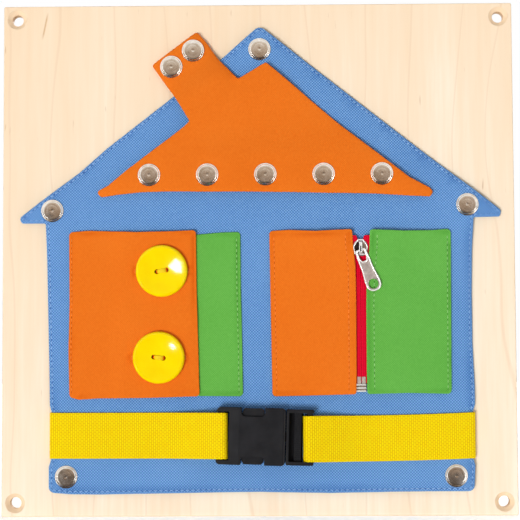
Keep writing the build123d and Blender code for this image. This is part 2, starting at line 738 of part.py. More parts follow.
def buckle_shell():
    """Socket half: a flat hollow shell with side windows, and a bar between two ears for the strap."""
    half = SHELL_HEIGHT / 2
    outline = Pos(-SHELL_LENGTH / 2, 0) * RectangleRounded(SHELL_LENGTH, SHELL_HEIGHT, BUCKLE_CORNER_R)
    shell = slab(outline, BUCKLE_BACK, BUCKLE_BACK + BUCKLE_THICK)
    shell = fillet(shell.faces().sort_by(Axis.Y)[0].edges(), SHELL_WALL / 2)
    body_left = shell_body_left()
    face = BUCKLE_BACK + BUCKLE_THICK
    level = body_left + FACE_SLOPE_RUN
    ahead = -2 * face
    wedge = [(level, -face), (-SHELL_LENGTH, FACE_SLOPE - face), (-SHELL_LENGTH, ahead), (level, ahead)]
    shell -= extrude(polygon(wedge), SHELL_HEIGHT, both=True)
    shell -= block(-LIP - LIP_GROOVE, -LIP, -SHELL_HEIGHT, SHELL_HEIGHT, face - LIP_GROOVE, 2 * face)
    shell -= block(-SHELL_LENGTH, body_left, -strap_slot(), strap_slot(), 0, 2 * BUCKLE_MID)
    cavity = half - SHELL_SIDE
    shell -= block(body_left + SHELL_WALL, 0, -cavity, cavity, BUCKLE_BACK + SHELL_WALL,
                   BUCKLE_BACK + BUCKLE_THICK - SHELL_WALL)
    window = RectangleRounded(WINDOW_SPAN, 2 * WINDOW_DEPTH, BUCKLE_CORNER_R)
    cut = slab(Pos(sum(window_ends()) / 2, half) * window, 0, 2 * BUCKLE_MID)
    shell -= cut
    shell -= mirror(cut, Plane.XY)
    shell += upright_pin(shell_bar_x(), BUCKLE_MID, STRAP_BAR_DIA, -strap_slot(), strap_slot())
    return on_belt(shell)


def buckle_plug():
    """Plug half without its arms: a frame with the ladder bar, the strap bar and the guide tongue."""
    inside = strap_slot()
    back = BUCKLE_MID - PLUG_THICK / 2
    face = BUCKLE_MID + PLUG_THICK / 2
    right = BUCKLE_SEAM + PLUG_LENGTH
    outline = RectangleRounded(PLUG_LENGTH, PLUG_HEIGHT, BUCKLE_CORNER_R / 2)
    plug = slab(Pos((BUCKLE_SEAM + right) / 2, 0) * outline, back, face)
    plug = fillet(plug.faces().sort_by(Axis.Y)[0].edges(), SHELL_WALL / 2)
    web = BUCKLE_SEAM + PLUG_WEB
    plug -= block(web, right, -inside, inside, 0, 2 * BUCKLE_MID)
    ladder = web + SLOT_WIDTH
    ladder_face = BUCKLE_MID + STRAP_BAR_DIA / 4
    plug += block(ladder, ladder + LADDER_WIDTH, -inside, inside, back, ladder_face)
    ribs = int(2 * inside / LADDER_RIB_PITCH)
    for i in range(ribs):
        z = (i - (ribs - 1) / 2) * LADDER_RIB_PITCH
        plug += block(ladder, ladder + LADDER_WIDTH, z - LADDER_RIB / 2, z + LADDER_RIB / 2, back,
                      ladder_face + LADDER_RIB)
    plug += upright_pin(plug_bar_x(), BUCKLE_MID, STRAP_BAR_DIA, -inside, inside)
    plug += block(-TONGUE_LENGTH, web, -TONGUE_WIDTH / 2, TONGUE_WIDTH / 2, BUCKLE_MID - TONGUE_THICK / 2,
                  BUCKLE_MID + TONGUE_THICK / 2)
    return on_belt(plug)


def arm_pivot():
    """Centre of an arm's rounded root, just inside the shell's mouth."""
    return BUCKLE_SEAM - ARM_CLEAR - ARM_WIDTH / 2, ARM_ROOT_Z


def buckle_arm(side):
    """Springy arm with its wing in a side window: the upper one for side 1, the lower for side -1."""
    x, z = arm_pivot()
    half = ARM_WIDTH / 2
    nose = window_ends()[0] + ARM_CLEAR
    shoulder = window_ends()[1] - ARM_CLEAR
    inner = z - half
    wing = [
        (shoulder, WING_OUT - WING_NOSE), (shoulder - WING_NOSE, WING_OUT),
        (nose + WING_NOSE, WING_OUT), (nose, WING_OUT - 2 * WING_NOSE)]
    points = [(x, z + half), (shoulder, z + half), *wing, (nose, inner), (x, inner)]
    outline = polygon(points) + Pos(x, z) * Circle(half)
    near = BUCKLE_BACK + SHELL_WALL + ARM_CLEAR
    far = BUCKLE_BACK + BUCKLE_THICK - SHELL_WALL - ARM_CLEAR
    arm = slab(outline, near, far)
    if side < 0:
        arm = mirror(arm, Plane.XY)
    return on_belt(arm)


# Belt: webbing folded round the house's edge at one end and looped through the buckle at the other

def strap(side):
    """Left half of the belt for side -1, right half for side 1."""
    wall = WALL_LEFT_X if side < 0 else WALL_RIGHT_X
    bar, z = bar_place(shell_bar_x() if side < 0 else plug_bar_x())
    half = STRAP_THICK / 2
    lying = HOUSE_FRONT + GAP + half
    second = lying + STRAP_THICK + GAP / 2
    behind = CLOTH_BACK - GAP - half
    outside = wall + side * (GAP + half)
    loop = STRAP_BAR_DIA / 2 + BAR_CLEAR + half
    over = BUCKLE_MID + loop
    under = BUCKLE_MID - loop
    turn = GAP + half
    bend = STRAP_THICK
    points = [
        (wall - side * STRAP_BACK_TAIL, behind),
        (outside, behind),
        (outside, lying),
        (bar + side * (STRAP_TAIL + STRAP_STEP_RUN), lying),
        (bar + side * (STRAP_TAIL + STRAP_STEP_RUN - STRAP_STEP), second),
        (bar + side * STRAP_CLIMB, second),
        (bar + side * half, over),
        (bar - side * loop, over),
        (bar - side * loop, under),
        (bar + side * loop, under),
        (bar + side * STRAP_DIP, lying),
        (bar + side * STRAP_TAIL, lying),
    ]
    wrap = loop - FIT_CLEAR
    radii = [turn, turn, bend, bend, bend, bend, wrap, wrap, bend, bend]
    return ribbon(points, radii, STRAP_THICK, z - STRAP_WIDTH / 2, z + STRAP_WIDTH / 2)


# Every piece of the board, by name

def pieces():
    board_snaps = house_snap_places() + chimney_snap_places()
    eave_snaps = eave_snap_places()
    upper, lower = button_places()
    upper_turn = Rot(0, 0, UPPER_BUTTON_TURN)
    lower_turn = Rot(0, 0, LOWER_BUTTON_TURN)
    roof_front = ROOF_BACK + 2 * CLOTH
    chimney_front = CLOTH_BACK + 2 * CLOTH
    chimney_snaps = chimney_snap_places()

    def roof_group(solid, over_house, over_board):
        return Compound(children=[placed(solid, x, z, over_house) for x, z in eave_snaps]
                        + [placed(solid, x, z, over_board) for x, z in chimney_snaps])

    return {
        "plywood_board": plywood_board(),
        "board_screw_studs": group(screw_stud(), board_snaps, BOARD_THICK),
        "house_front_cloth": house_layer(CLOTH_BACK + CLOTH, HOUSE_FRONT),
        "house_backing_cloth": house_layer(CLOTH_BACK, CLOTH_BACK + CLOTH),
        "house_snap_caps": group(snap_cap(), house_snap_places(), HOUSE_FRONT),
        "house_snap_sockets": group(snap_socket(), house_snap_places(), CLOTH_BACK),
        "eave_studs": group(cloth_stud(), eave_snaps, HOUSE_FRONT),
        "eave_stud_posts": group(stud_post(), eave_snaps, CLOTH_BACK),
        "roof_front_cloth": roof_layer(CLOTH),
        "roof_backing_cloth": roof_layer(0),
        "roof_snap_caps": roof_group(snap_cap(), roof_front, chimney_front),
        "roof_snap_sockets": roof_group(snap_socket(), ROOF_BACK, CLOTH_BACK),
        "orange_button_flap": button_flap(),
        "green_under_flap": under_flap(),
        "upper_button": placed(upper_turn * button(), *upper, BUTTON_BACK),
        "lower_button": placed(lower_turn * button(), *lower, BUTTON_BACK),
        "upper_button_thread": placed(upper_turn * button_thread(), *upper, BUTTON_BACK),
        "lower_button_thread": placed(lower_turn * button_thread(), *lower, BUTTON_BACK),
        "orange_zip_flap": zip_flap(-1),
        "green_zip_flap": zip_flap(1),
        "zip_tape_left": zip_tape(-1),
        "zip_tape_right": zip_tape(1),
        "zip_coil_left": zip_coil(-1),
        "zip_coil_right": zip_coil(1),
        "zip_box": zip_box(),
        "zip_pin": zip_pin(),
        "zip_slider_body": slider_body(),
        "zip_slider_bail": slider_bail(),
        "zip_pull_tab": pull_tab(),
        "left_strap": strap(-1),
        "right_strap": strap(1),
        "buckle_shell": buckle_shell(),
        "buckle_plug": buckle_plug(),
        "buckle_upper_arm": buckle_arm(1),
        "buckle_lower_arm": buckle_arm(-1),
    }


os.makedirs("parts", exist_ok=True)
for name, shape in pieces().items():
    export_step(shape, "parts/" + name + ".step")
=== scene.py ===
# %% [markdown]
# # A cloth house of fastenings
# The real thing is a plywood square for a nursery wall. A blue cloth house snaps onto it, and a
# child opens its roof, shutters and belt. Most hard pieces (board, studs, buttons, slider, buckle)
# come from the frame as they are and get their finishes here. The press-stud caps and the zip's pull
# are drawn again, because their stamped shape shows. The soft pieces (cloth, webbing, zip tape,
# thread) are cut and sewn anew, because a CAD solid can't look like cloth.

# %% Load the frame
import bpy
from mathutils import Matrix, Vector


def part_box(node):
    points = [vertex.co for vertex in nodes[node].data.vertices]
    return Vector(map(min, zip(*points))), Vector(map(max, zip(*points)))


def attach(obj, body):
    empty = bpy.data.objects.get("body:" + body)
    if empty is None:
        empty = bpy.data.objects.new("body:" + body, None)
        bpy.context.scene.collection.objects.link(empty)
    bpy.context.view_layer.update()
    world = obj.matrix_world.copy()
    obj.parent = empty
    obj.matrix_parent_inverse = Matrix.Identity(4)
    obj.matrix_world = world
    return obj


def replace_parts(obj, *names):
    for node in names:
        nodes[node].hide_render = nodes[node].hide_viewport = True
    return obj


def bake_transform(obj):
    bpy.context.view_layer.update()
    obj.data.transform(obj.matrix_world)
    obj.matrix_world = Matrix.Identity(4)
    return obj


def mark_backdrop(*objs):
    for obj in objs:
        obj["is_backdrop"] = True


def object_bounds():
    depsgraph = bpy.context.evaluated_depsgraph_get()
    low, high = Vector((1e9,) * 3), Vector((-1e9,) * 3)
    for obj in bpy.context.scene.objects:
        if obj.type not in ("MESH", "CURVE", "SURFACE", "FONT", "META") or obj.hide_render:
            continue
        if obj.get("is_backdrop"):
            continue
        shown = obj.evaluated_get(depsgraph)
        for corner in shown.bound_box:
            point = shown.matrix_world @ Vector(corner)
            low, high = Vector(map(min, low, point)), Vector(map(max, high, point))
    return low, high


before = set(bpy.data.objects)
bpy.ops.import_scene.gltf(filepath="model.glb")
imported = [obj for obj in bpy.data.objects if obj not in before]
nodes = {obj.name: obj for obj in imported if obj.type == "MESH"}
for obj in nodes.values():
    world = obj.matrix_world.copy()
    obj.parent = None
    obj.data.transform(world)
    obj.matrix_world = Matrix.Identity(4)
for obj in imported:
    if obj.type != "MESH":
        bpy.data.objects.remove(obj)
cad_box = [list(corner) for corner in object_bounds()]

from math import cos, pi, radians, sin, tan

import bpy
import numpy as np
from mathutils import Matrix, Vector
from mathutils.bvhtree import BVHTree

MM = 0.001
bpy.ops.object.select_all(action="DESELECT")

# %% [markdown]
# ## Camera
# The photograph was taken from about a metre away, a little below the middle and looking slightly
# up. The place and turn below were fitted to the board's corners, holes and press studs.

# %% Camera
CAMERA_PLACE = (15.4, -1000.0, -61.1)
CAMERA_UP, CAMERA_ROLL, CAMERA_LEFT = 3.45, 0.27, 0.84
LENS, SENSOR = 103.6, 36.0
bpy.ops.object.camera_add(location=[value * MM for value in CAMERA_PLACE])
camera = bpy.context.object
camera.data.lens = LENS
camera.data.sensor_width = SENSOR
turn = (Matrix.Rotation(radians(CAMERA_LEFT), 3, "Z") @ Matrix.Rotation(radians(CAMERA_ROLL), 3, "Y")
        @ Matrix.Rotation(radians(CAMERA_UP), 3, "X") @ Matrix.Rotation(pi / 2, 3, "X"))
camera.rotation_euler = turn.to_euler()
bpy.context.scene.camera = camera
print("camera at", [round(value, 3) for value in camera.location])

# %% [markdown]
# ## Helpers for finishes
# Every finish is a principled shader with a few texture nodes in front of it. Colours are written
# as they look on a screen, 0 to 255, and turned into linear light once.

# %% Finish helpers
def paint(red, green, blue):
    """A screen colour as linear light."""
    shares = [value / 255 for value in (red, green, blue)]
    return [s / 12.92 if s < 0.04045 else ((s + 0.055) / 1.055) ** 2.4 for s in shares] + [1.0]


def finish(name, **sockets):
    """A new material; its shader's sockets are named with _ for a space."""
    material = bpy.data.materials.new(name)
    material.use_nodes = True
    shader = material.node_tree.nodes["Principled BSDF"]
    for socket, value in sockets.items():
        shader.inputs[socket.replace("_", " ")].default_value = value
    return material


def node(material, kind, inputs, **settings):
    """A shader node with its settings and inputs, and its first output."""
    made = material.node_tree.nodes.new("ShaderNode" + kind)
    for setting, value in settings.items():
        setattr(made, setting, value)
    for socket, value in inputs.items():
        if isinstance(value, bpy.types.NodeSocket):
            material.node_tree.links.new(value, made.inputs[socket])
        else:
            made.inputs[socket].default_value = value
    return made.outputs[0]


def sums(material, operation, first, second=0.0):
    return node(material, "Math", {0: first, 1: second}, operation=operation)


def added(material, base, extra, weight):
    """A value plus a weighted other one."""
    return node(material, "Math", {0: extra, 1: weight, 2: base}, operation="MULTIPLY_ADD")


def waves(material, value, pitch):
    """A sine along a place, with its pitch in mm."""
    return sums(material, "SINE", sums(material, "MULTIPLY", value, 2 * pi / (pitch * MM)))


def faded(material, value, start, end, most=1.0):
    """From 0 to the most as a value goes from start to end."""
    return node(material, "MapRange", {"Value": value, "From Min": start, "From Max": end, "To Max": most})


def places(material, source="Object"):
    """Where a point lies, in the piece's own metres, as x, y and z."""
    made = material.node_tree.nodes.new("ShaderNodeTexCoord")
    split = material.node_tree.nodes.new("ShaderNodeSeparateXYZ")
    material.node_tree.links.new(made.outputs[source], split.inputs[0])
    return made.outputs[source], split.outputs[0], split.outputs[1], split.outputs[2]


def stretched(material, where, scale):
    return node(material, "VectorMath", {0: where, 1: scale}, operation="MULTIPLY")


def noise(material, where, scale, detail=2.0, roughness=0.5):
    return node(material, "TexNoise", {"Vector": where, "Scale": scale, "Detail": detail,
                                       "Roughness": roughness})


def ramp(material, value, stops):
    """Colours along a value; stops are (place, screen colour)."""
    shade = node(material, "ValToRGB", {"Fac": value})
    elements = shade.node.color_ramp.elements
    while len(elements) < len(stops):
        elements.new(0.5)
    for element, (place, colour) in zip(elements, stops):
        element.position = place
        element.color = paint(*colour)
    return shade


def mixed(material, share, first, second):
    """A colour between two; 6, 7 and 2 are the colour sockets of the Mix node."""
    return node(material, "Mix", {0: share, 6: first, 7: second}, data_type="RGBA").node.outputs[2]


def wire(material, **links):
    """Links outputs to the shader's sockets."""
    shader = material.node_tree.nodes["Principled BSDF"]
    for socket, output in links.items():
        material.node_tree.links.new(output, shader.inputs[socket.replace("_", " ")])


def bumped(material, height, distance, strength=1.0):
    wire(material, Normal=node(material, "Bump", {"Height": height, "Distance": distance,
                                                  "Strength": strength}))


def coat(material, *names):
    """Gives CAD nodes their finish."""
    for name in names:
        nodes[name].data.materials.clear()
        nodes[name].data.materials.append(material)


print("finish helpers ready")

# %% [markdown]
# ## Cloth finishes
# The house is a sturdy cotton weave. Its threads cross and hide each other by turns, which gives the
# fine checkered dots. Orange and green are the same cloth with a much fainter pattern. A slow noise
# stands for uneven dye, and the seam groove is darker because less light falls into it.

# %% Cloth finishes
def twill(name, dark, middle, light, pitch, contrast):
    """Woven cotton: a checkered lattice of threads, uneven dye and a shaded seam."""
    cloth = finish(name, Roughness=0.95, Specular_IOR_Level=0.06)
    where, x, _, z = places(cloth)
    lattice = sums(cloth, "MULTIPLY", waves(cloth, x, pitch), waves(cloth, z, pitch))
    dye = sums(cloth, "SUBTRACT", noise(cloth, where, 24.0, 3.0), 0.5)
    lint = sums(cloth, "SUBTRACT", noise(cloth, where, 700.0, 3.0), 0.5)
    groove = node(cloth, "Attribute", {}, attribute_name="groove").node.outputs["Fac"]
    shade = added(cloth, 0.5, lattice, contrast)
    for part, weight in ((dye, 0.22), (lint, 0.30), (groove, -0.32)):
        shade = added(cloth, shade, part, weight)
    wire(cloth, Base_Color=ramp(cloth, shade, ((0.0, dark), (0.5, middle), (1.0, light))))
    bumped(cloth, added(cloth, lattice, lint, 1.5), 0.10 * MM, 0.5)
    return cloth


blue_twill = twill("blue twill", (62, 110, 176), (99, 147, 205), (138, 184, 234), 1.9, 0.62)
orange_twill = twill("orange twill", (210, 86, 10), (235, 116, 28), (250, 144, 54), 1.5, 0.10)
green_twill = twill("green twill", (74, 148, 52), (102, 180, 74), (134, 205, 106), 1.5, 0.22)


def thread_finish(name, dark, light):
    """Spun sewing thread: a lustrous strand with a fine twist."""
    thread = finish(name, Roughness=0.7, Specular_IOR_Level=0.1)
    where = places(thread)[0]
    twist = node(thread, "TexWave", {"Vector": where, "Scale": 900.0, "Distortion": 1.0},
                 bands_direction="DIAGONAL")
    wire(thread, Base_Color=ramp(thread, twist, ((0.0, dark), (1.0, light))))
    bumped(thread, twist, 0.08 * MM, 0.6)
    return thread


blue_thread = thread_finish("blue thread", (122, 168, 222), (184, 212, 246))
orange_thread = thread_finish("orange thread", (236, 124, 40), (255, 158, 80))
green_thread = thread_finish("green thread", (112, 184, 90), (186, 228, 160))
yellow_thread = thread_finish("yellow thread", (248, 204, 10), (255, 230, 50))
# Dark beads between stitches are painted shade for the needle's pits, not thread.
needle_hole_shade = {name: thread_finish(name + " needle holes", dark, light) for name, dark, light in (
    ("blue", (40, 78, 150), (66, 108, 178)), ("orange", (168, 58, 0), (206, 84, 6)),
    ("green", (36, 104, 28), (64, 136, 44)))}
print("cloth finishes:", blue_twill.name, orange_twill.name, green_twill.name)

# %% [markdown]
# ## Helpers for soft pieces
# Cloth is cut flat along an outline, laid onto the CAD solid that it stands for, and closed as two
# layers that meet at the edge, just as two layers are sewn together and turned inside out.

# %% Piece helpers
def take(piece):
    """Selects one piece alone, so that the operators act on nothing else."""
    bpy.ops.object.select_all(action="DESELECT")
    piece.select_set(True)
    bpy.context.view_layer.objects.active = piece
    return piece


def edit(piece):
    take(piece)
    bpy.ops.object.mode_set(mode="EDIT")
    bpy.ops.mesh.select_all(action="SELECT")


def done():
    bpy.ops.object.mode_set(mode="OBJECT")


def joined(name, pieces):
    """Several pieces as one, under a new name."""
    take(pieces[0])
    for piece in pieces:
        piece.select_set(True)
    bpy.ops.object.join()
    pieces[0].name = name
    return pieces[0]


def dress(piece, material, body):
    """Gives a finished piece its material and the body that it rides on."""
    if len(piece.data.materials) > 1:
        piece.data.materials[0] = material
    else:
        piece.data.materials.clear()
        piece.data.materials.append(material)
    if body:
        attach(piece, body)
    return piece


def block(size, place, soft):
    """A block with soft edges, of a size in mm, with its middle at a place in mm."""
    bpy.ops.object.select_all(action="DESELECT")
    bpy.ops.mesh.primitive_cube_add(size=1, location=(0, 0, 0))
    made = bpy.context.object
    edit(made)
    bpy.ops.transform.resize(value=Vector(size) * MM, center_override=(0, 0, 0))
    bpy.ops.mesh.bevel(offset=soft * MM, segments=2)
    bpy.ops.transform.translate(value=Vector(place) * MM)
    done()
    return made


print("piece helpers ready")

# %% [markdown]
# A cutting line is a short list of corners, each with its rounding. The helpers below turn it into
# points, measure it, move it inwards for a row of stitches, and find how deep a CAD solid lies.

# %% Outline helpers
def rounded(corners, step=4.0, closed=True):
    """Points in mm along an outline of (x, z, radius) corners, each rounded by its radius."""
    outline = []
    count = len(corners)
    for index, (x, z, radius) in enumerate(corners):
        here = np.array((x, z))
        if not closed and index in (0, count - 1):
            outline.append(here)
            continue
        back = np.array(corners[index - 1][:2]) - here
        ahead = np.array(corners[(index + 1) % count][:2]) - here
        back, ahead = back / np.linalg.norm(back), ahead / np.linalg.norm(ahead)
        bend = np.arccos(np.clip(np.dot(back, ahead), -1, 1))
        if radius == 0 or bend > radians(177):
            outline.append(here)
            continue
        middle = here + (back + ahead) / np.linalg.norm(back + ahead) * radius / sin(bend / 2)
        first, last = here + back * radius / tan(bend / 2), here + ahead * radius / tan(bend / 2)
        pieces = max(3, int((pi - bend) * radius / 0.7))
        start = first - middle
        sweep = np.arctan2(np.cross(start, last - middle), np.dot(start, last - middle))
        for share in np.linspace(0, sweep, pieces + 1):
            swung = (start[0] * cos(share) - start[1] * sin(share),
                     start[0] * sin(share) + start[1] * cos(share))
            outline.append(middle + np.array(swung))
    dense = []
    for index, here in enumerate(outline if closed else outline[:-1]):
        ahead = outline[(index + 1) % len(outline)]
        pieces = max(1, round(np.linalg.norm(ahead - here) / step))
        dense += [here + (ahead - here) * share / pieces for share in range(pieces)]
    return np.array(dense if closed else dense + [outline[-1]])


def edge_distance(points, outline):
    """How far each point lies from a closed outline, in mm."""
    best = np.full(len(points), 1e9)
    for a, b in zip(outline, np.roll(outline, -1, axis=0)):
        along = b - a
        share = np.clip((points - a) @ along / max(np.dot(along, along), 1e-9), 0, 1)
        best = np.minimum(best, np.linalg.norm(points - (a + share[:, None] * along), axis=1))
    return best


def shifted_in(outline, distance):
    """An outline moved inwards, for a row of stitches."""
    along = np.roll(outline, -1, axis=0) - np.roll(outline, 1, axis=0)
    normal = np.stack((-along[:, 1], along[:, 0]), axis=1) / np.linalg.norm(along, axis=1)[:, None]
    x, z = outline.T
    turning = np.dot(x, np.roll(z, -1)) - np.dot(z, np.roll(x, -1))
    return outline + normal * distance * np.sign(turning)


def tree_of(piece):
    """A search tree over a piece or CAD node, for laying cloth or thread on its front."""
    mesh = piece.data
    return BVHTree.FromPolygons([v.co for v in mesh.vertices], [f.vertices for f in mesh.polygons])


def depth_on(tree, x, z, reach=2.5):
    """Mean depth in mm of the surface near (x, z) seen from the front; None off the surface."""
    hits = []
    for dx, dz in ((0, 0), (reach, 0), (-reach, 0), (0, reach), (0, -reach)):
        hit = tree.ray_cast(Vector(((x + dx) * MM, -0.1, (z + dz) * MM)), Vector((0, 1, 0)))[0]
        if hit:
            hits.append(-hit.y / MM)
    return sum(hits) / len(hits) if hits else None


def spots(name):
    """Middle x and z and front depth in mm of each separate solid of a CAD node."""
    copy = bpy.data.objects.new("copy", nodes[name].data.copy())
    bpy.context.collection.objects.link(copy)
    edit(copy)
    bpy.ops.mesh.remove_doubles(threshold=1e-6)
    bpy.ops.mesh.separate(type="LOOSE")
    done()
    middles = []
    for piece in list(bpy.context.selected_objects):
        points = np.array([vertex.co for vertex in piece.data.vertices]) / MM
        middle = (points.max(axis=0) + points.min(axis=0)) / 2
        middles.append((middle[0], middle[2], -points[:, 1].min()))
        bpy.data.objects.remove(piece)
    return np.array(middles)


print("outline helpers ready")

# %% [markdown]
# The cutting itself: a filled outline, three narrow rows inside its edge for the turned rim, and a
# grid of straight cuts so that the cloth can bend. Each layer then bulges away from the shared edge.

# %% Cutting and sewing
RIM_ROWS, SLIT_ROWS = (0.12, 0.28, 0.45), (0, 0.15, 0.5, 1.2)
SLIT_CLEAR, LONG_SIDE = 2.0, 9.0
SEAM_IN, NO_SEAM = 1.9, -9.0
STITCH_LONG, STITCH_PITCH = 2.1, 3.5
SEAM_DEEP, SEAM_WIDE, SHADE_WIDE = 0.22, 0.55, 0.7
EDGE_PRESS, PRESS_REACH = 0.35, 6.0


def cut_cloth(name, outline, cell, slits=()):
    """A flat piece of cloth in the plane y = 0, cut into small cells; slits are (x0, x1, z0, z1)."""
    bpy.ops.mesh.primitive_circle_add(vertices=len(outline), fill_type="NGON", location=(0, 0, 0))
    cloth = bpy.context.object
    cloth.name = name
    for vertex, (x, z) in zip(cloth.data.vertices, outline):
        vertex.co = (x * MM, 0, z * MM)
    edit(cloth)
    for row in RIM_ROWS:
        bpy.ops.mesh.inset(thickness=row * MM)
    low, high = outline.min(axis=0), outline.max(axis=0)
    cuts = [list(np.arange(low[axis] + cell / 2, high[axis], cell)) for axis in (0, 1)]
    for slit in slits:
        for axis in (0, 1):
            first, last = slit[2 * axis:2 * axis + 2]
            cuts[axis] = [cut for cut in cuts[axis] if last - first > LONG_SIDE
                          or not first - SLIT_CLEAR < cut < last + SLIT_CLEAR]
            for row in SLIT_ROWS:
                cuts[axis] += [first - row, last + row]
    for axis, normal in ((0, (1, 0, 0)), (1, (0, 0, 1))):
        for cut in cuts[axis]:
            bpy.ops.mesh.select_all(action="SELECT")
            place = (cut * MM, 0, 0) if axis == 0 else (0, 0, cut * MM)
            bpy.ops.mesh.bisect(plane_co=place, plane_no=normal)
    bpy.ops.mesh.select_all(action="SELECT")
    bpy.ops.mesh.remove_doubles(threshold=0.05 * MM)
    bpy.ops.mesh.select_all(action="DESELECT")
    bpy.ops.mesh.select_mode(type="FACE")
    done()
    for face in cloth.data.polygons:
        x, z = face.center.x / MM, face.center.z / MM
        face.select = any(a < x < b and c < z < d for a, b, c, d in slits)
    if any(face.select for face in cloth.data.polygons):
        bpy.ops.object.mode_set(mode="EDIT")
        bpy.ops.mesh.delete(type="FACE")
        done()
    return cloth


def sew_cloth(cloth, outline, thick, depth, slits=(), seam_in=SEAM_IN):
    """Closes a cut cloth as two layers round its middle; depth(x, z, edge) is the front's, in mm."""
    edges = [outline] + [np.array(((a, c), (b, c), (b, d), (a, d))) for a, b, c, d in slits]
    edit(cloth)
    bpy.ops.mesh.duplicate()
    done()
    count = len(cloth.data.vertices) // 2
    points = np.array([vertex.co for vertex in cloth.data.vertices]) / MM
    flat = points[:, [0, 2]]
    edge = np.min([edge_distance(flat, line) for line in edges], axis=0)
    half = thick / 2
    pressed = 1 - EDGE_PRESS + EDGE_PRESS * np.minimum(edge / PRESS_REACH, 1)
    bulge = half * pressed * np.sqrt(1 - (1 - np.minimum(edge / half, 1)) ** 2)
    seam = np.exp(-((edge - seam_in) / SEAM_WIDE) ** 2)
    front = np.array([depth(x, z, e) for (x, z), e in zip(flat, edge)])
    side = np.where(np.arange(len(points)) < count, 1, -1)
    deep = front - half + side * (bulge - SEAM_DEEP * seam)
    for vertex, value in zip(cloth.data.vertices, deep):
        vertex.co.y = -value * MM
    edit(cloth)
    bpy.ops.mesh.remove_doubles(threshold=0.02 * MM)
    bpy.ops.mesh.normals_make_consistent(inside=False)
    done()
    points = np.array([vertex.co for vertex in cloth.data.vertices]) / MM
    edge = np.min([edge_distance(points[:, [0, 2]], line) for line in edges], axis=0)
    groove = cloth.data.attributes.new("groove", "FLOAT", "POINT")
    groove.data.foreach_set("value", np.exp(-((edge - seam_in) / SHADE_WIDE) ** 2))
    bpy.ops.object.shade_smooth()
    return cloth


def stitches(name, path, tree, length, pitch, width, holes=None):
    """A row of stitches along (x, z) points on a cloth's front, with dark beads of painted shade between, for
    the needle's pits.
    """
    points = [(x * MM, -depth_on(tree, x, z, 0.3) * MM, z * MM) for x, z in path]
    curve = bpy.data.curves.new("seam path", "CURVE")
    curve.dimensions = "3D"
    spline = curve.splines.new("POLY")
    spline.points.add(len(points) - 1)
    for point, place in zip(spline.points, points):
        point.co = (*place, 1)
    route = bpy.data.objects.new("seam path", curve)
    bpy.context.collection.objects.link(route)
    bpy.ops.mesh.primitive_uv_sphere_add(segments=6, ring_count=5, radius=0.5 * MM, location=(0, 0, 0))
    row = bpy.context.object
    row.name = name
    edit(row)
    bpy.ops.transform.rotate(value=pi / 2, orient_axis="Y", center_override=(0, 0, 0))
    bpy.ops.transform.resize(value=(length, width, width), center_override=(0, 0, 0))
    bpy.ops.transform.translate(value=(length / 2 * MM, 0, 0))
    done()
    # Between the stitches sit dark beads: painted shade for the pits the needle left.
    if holes:
        bpy.ops.mesh.primitive_uv_sphere_add(segments=5, ring_count=4, radius=0.5 * MM,
                                             location=(0, 0, 0))
        hole = bpy.context.object
        edit(hole)
        bpy.ops.transform.resize(value=(pitch - length, 0.4, width * 1.1), center_override=(0, 0, 0))
        bpy.ops.transform.translate(value=((pitch + length) / 2 * MM, 0, 0))
        done()
        for face in hole.data.polygons:
            face.material_index = 1
        for piece in (row, hole):
            piece.data.materials.append(None)
            piece.data.materials.append(holes)
        row = joined(name, [row, hole])
    repeat = row.modifiers.new("repeat", "ARRAY")
    repeat.fit_type = "FIT_CURVE"
    repeat.curve = route
    repeat.use_relative_offset = False
    repeat.use_constant_offset = True
    repeat.constant_offset_displace = (pitch * MM, 0, 0)
    follow = row.modifiers.new("follow", "CURVE")
    follow.object = route
    take(row)
    bpy.ops.object.modifier_apply(modifier="repeat")
    bpy.ops.object.modifier_apply(modifier="follow")
    bpy.ops.object.shade_smooth()
    bpy.data.objects.remove(route)
    return row


def dip(x, z, middles, deep, reach):
    """How far press studs pull the cloth in near them, in mm."""
    return sum(deep * np.exp(-((x - a) ** 2 + (z - b) ** 2) / reach ** 2) for a, b, _ in middles)


print("cutting and sewing ready")

# %% [markdown]
# ## Blue house
# The house is two layers of twill sewn together, turned and top-stitched round the edge. It hangs on
# five press studs, so each stud pulls a shallow dimple into it and the free lower edge ripples a
# little. The corner list follows the photograph, with edges that bow by a millimetre or so.

# %% Blue house
HOUSE = (
    (1.5, 155.2, 5), (52.5, 114.9, 0), (111.3, 68.6, 0), (143.8, 43.9, 0), (160.9, 30.6, 2.4),
    (159.8, 26.4, 1.6), (142.4, 25.9, 1), (141.4, 6, 0), (140.8, -24, 0), (140.9, -57, 0), (141.9, -84, 0),
    (141.9, -97.0, 0), (140.0, -103.4, 0), (140.0, -131.0, 0), (141.5, -137.0, 0), (140.7, -153.6, 4),
    (87.2, -153.9, 0), (46.9, -154.7, 0), (0.5, -153.7, 0), (-61.1, -154.5, 0), (-104.6, -155.2, 0),
    (-124.1, -154.7, 0), (-138.0, -153.6, 4), (-138.1, -137.0, 0), (-136.0, -130.4, 0), (-136.0, -103.0, 0),
    (-137.7, -97.0, 0), (-138.7, -55.8, 0), (-140, -1, 0), (-140.7, 23.3, 1), (-156.6, 23.5, 1.6),
    (-158.6, 27.0, 2.4), (-118.2, 57.6, 0), (-100.6, 73.2, 0), (-77.4, 91.3, 0), (-24.3, 132.6, 0))
house_front = -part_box("house_front_cloth")[0].y / MM
house_back = -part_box("house_backing_cloth")[1].y / MM
house_snaps = spots("house_snap_caps")
house_outline = rounded(HOUSE)
STRAP_DROOP, WALL_DROOP, STRAP_TOP = 1.8, 1.2, -92.0
RIPPLE, RIPPLE_LONG, HOUSE_FOOT = 0.8, 11.5, -155.0


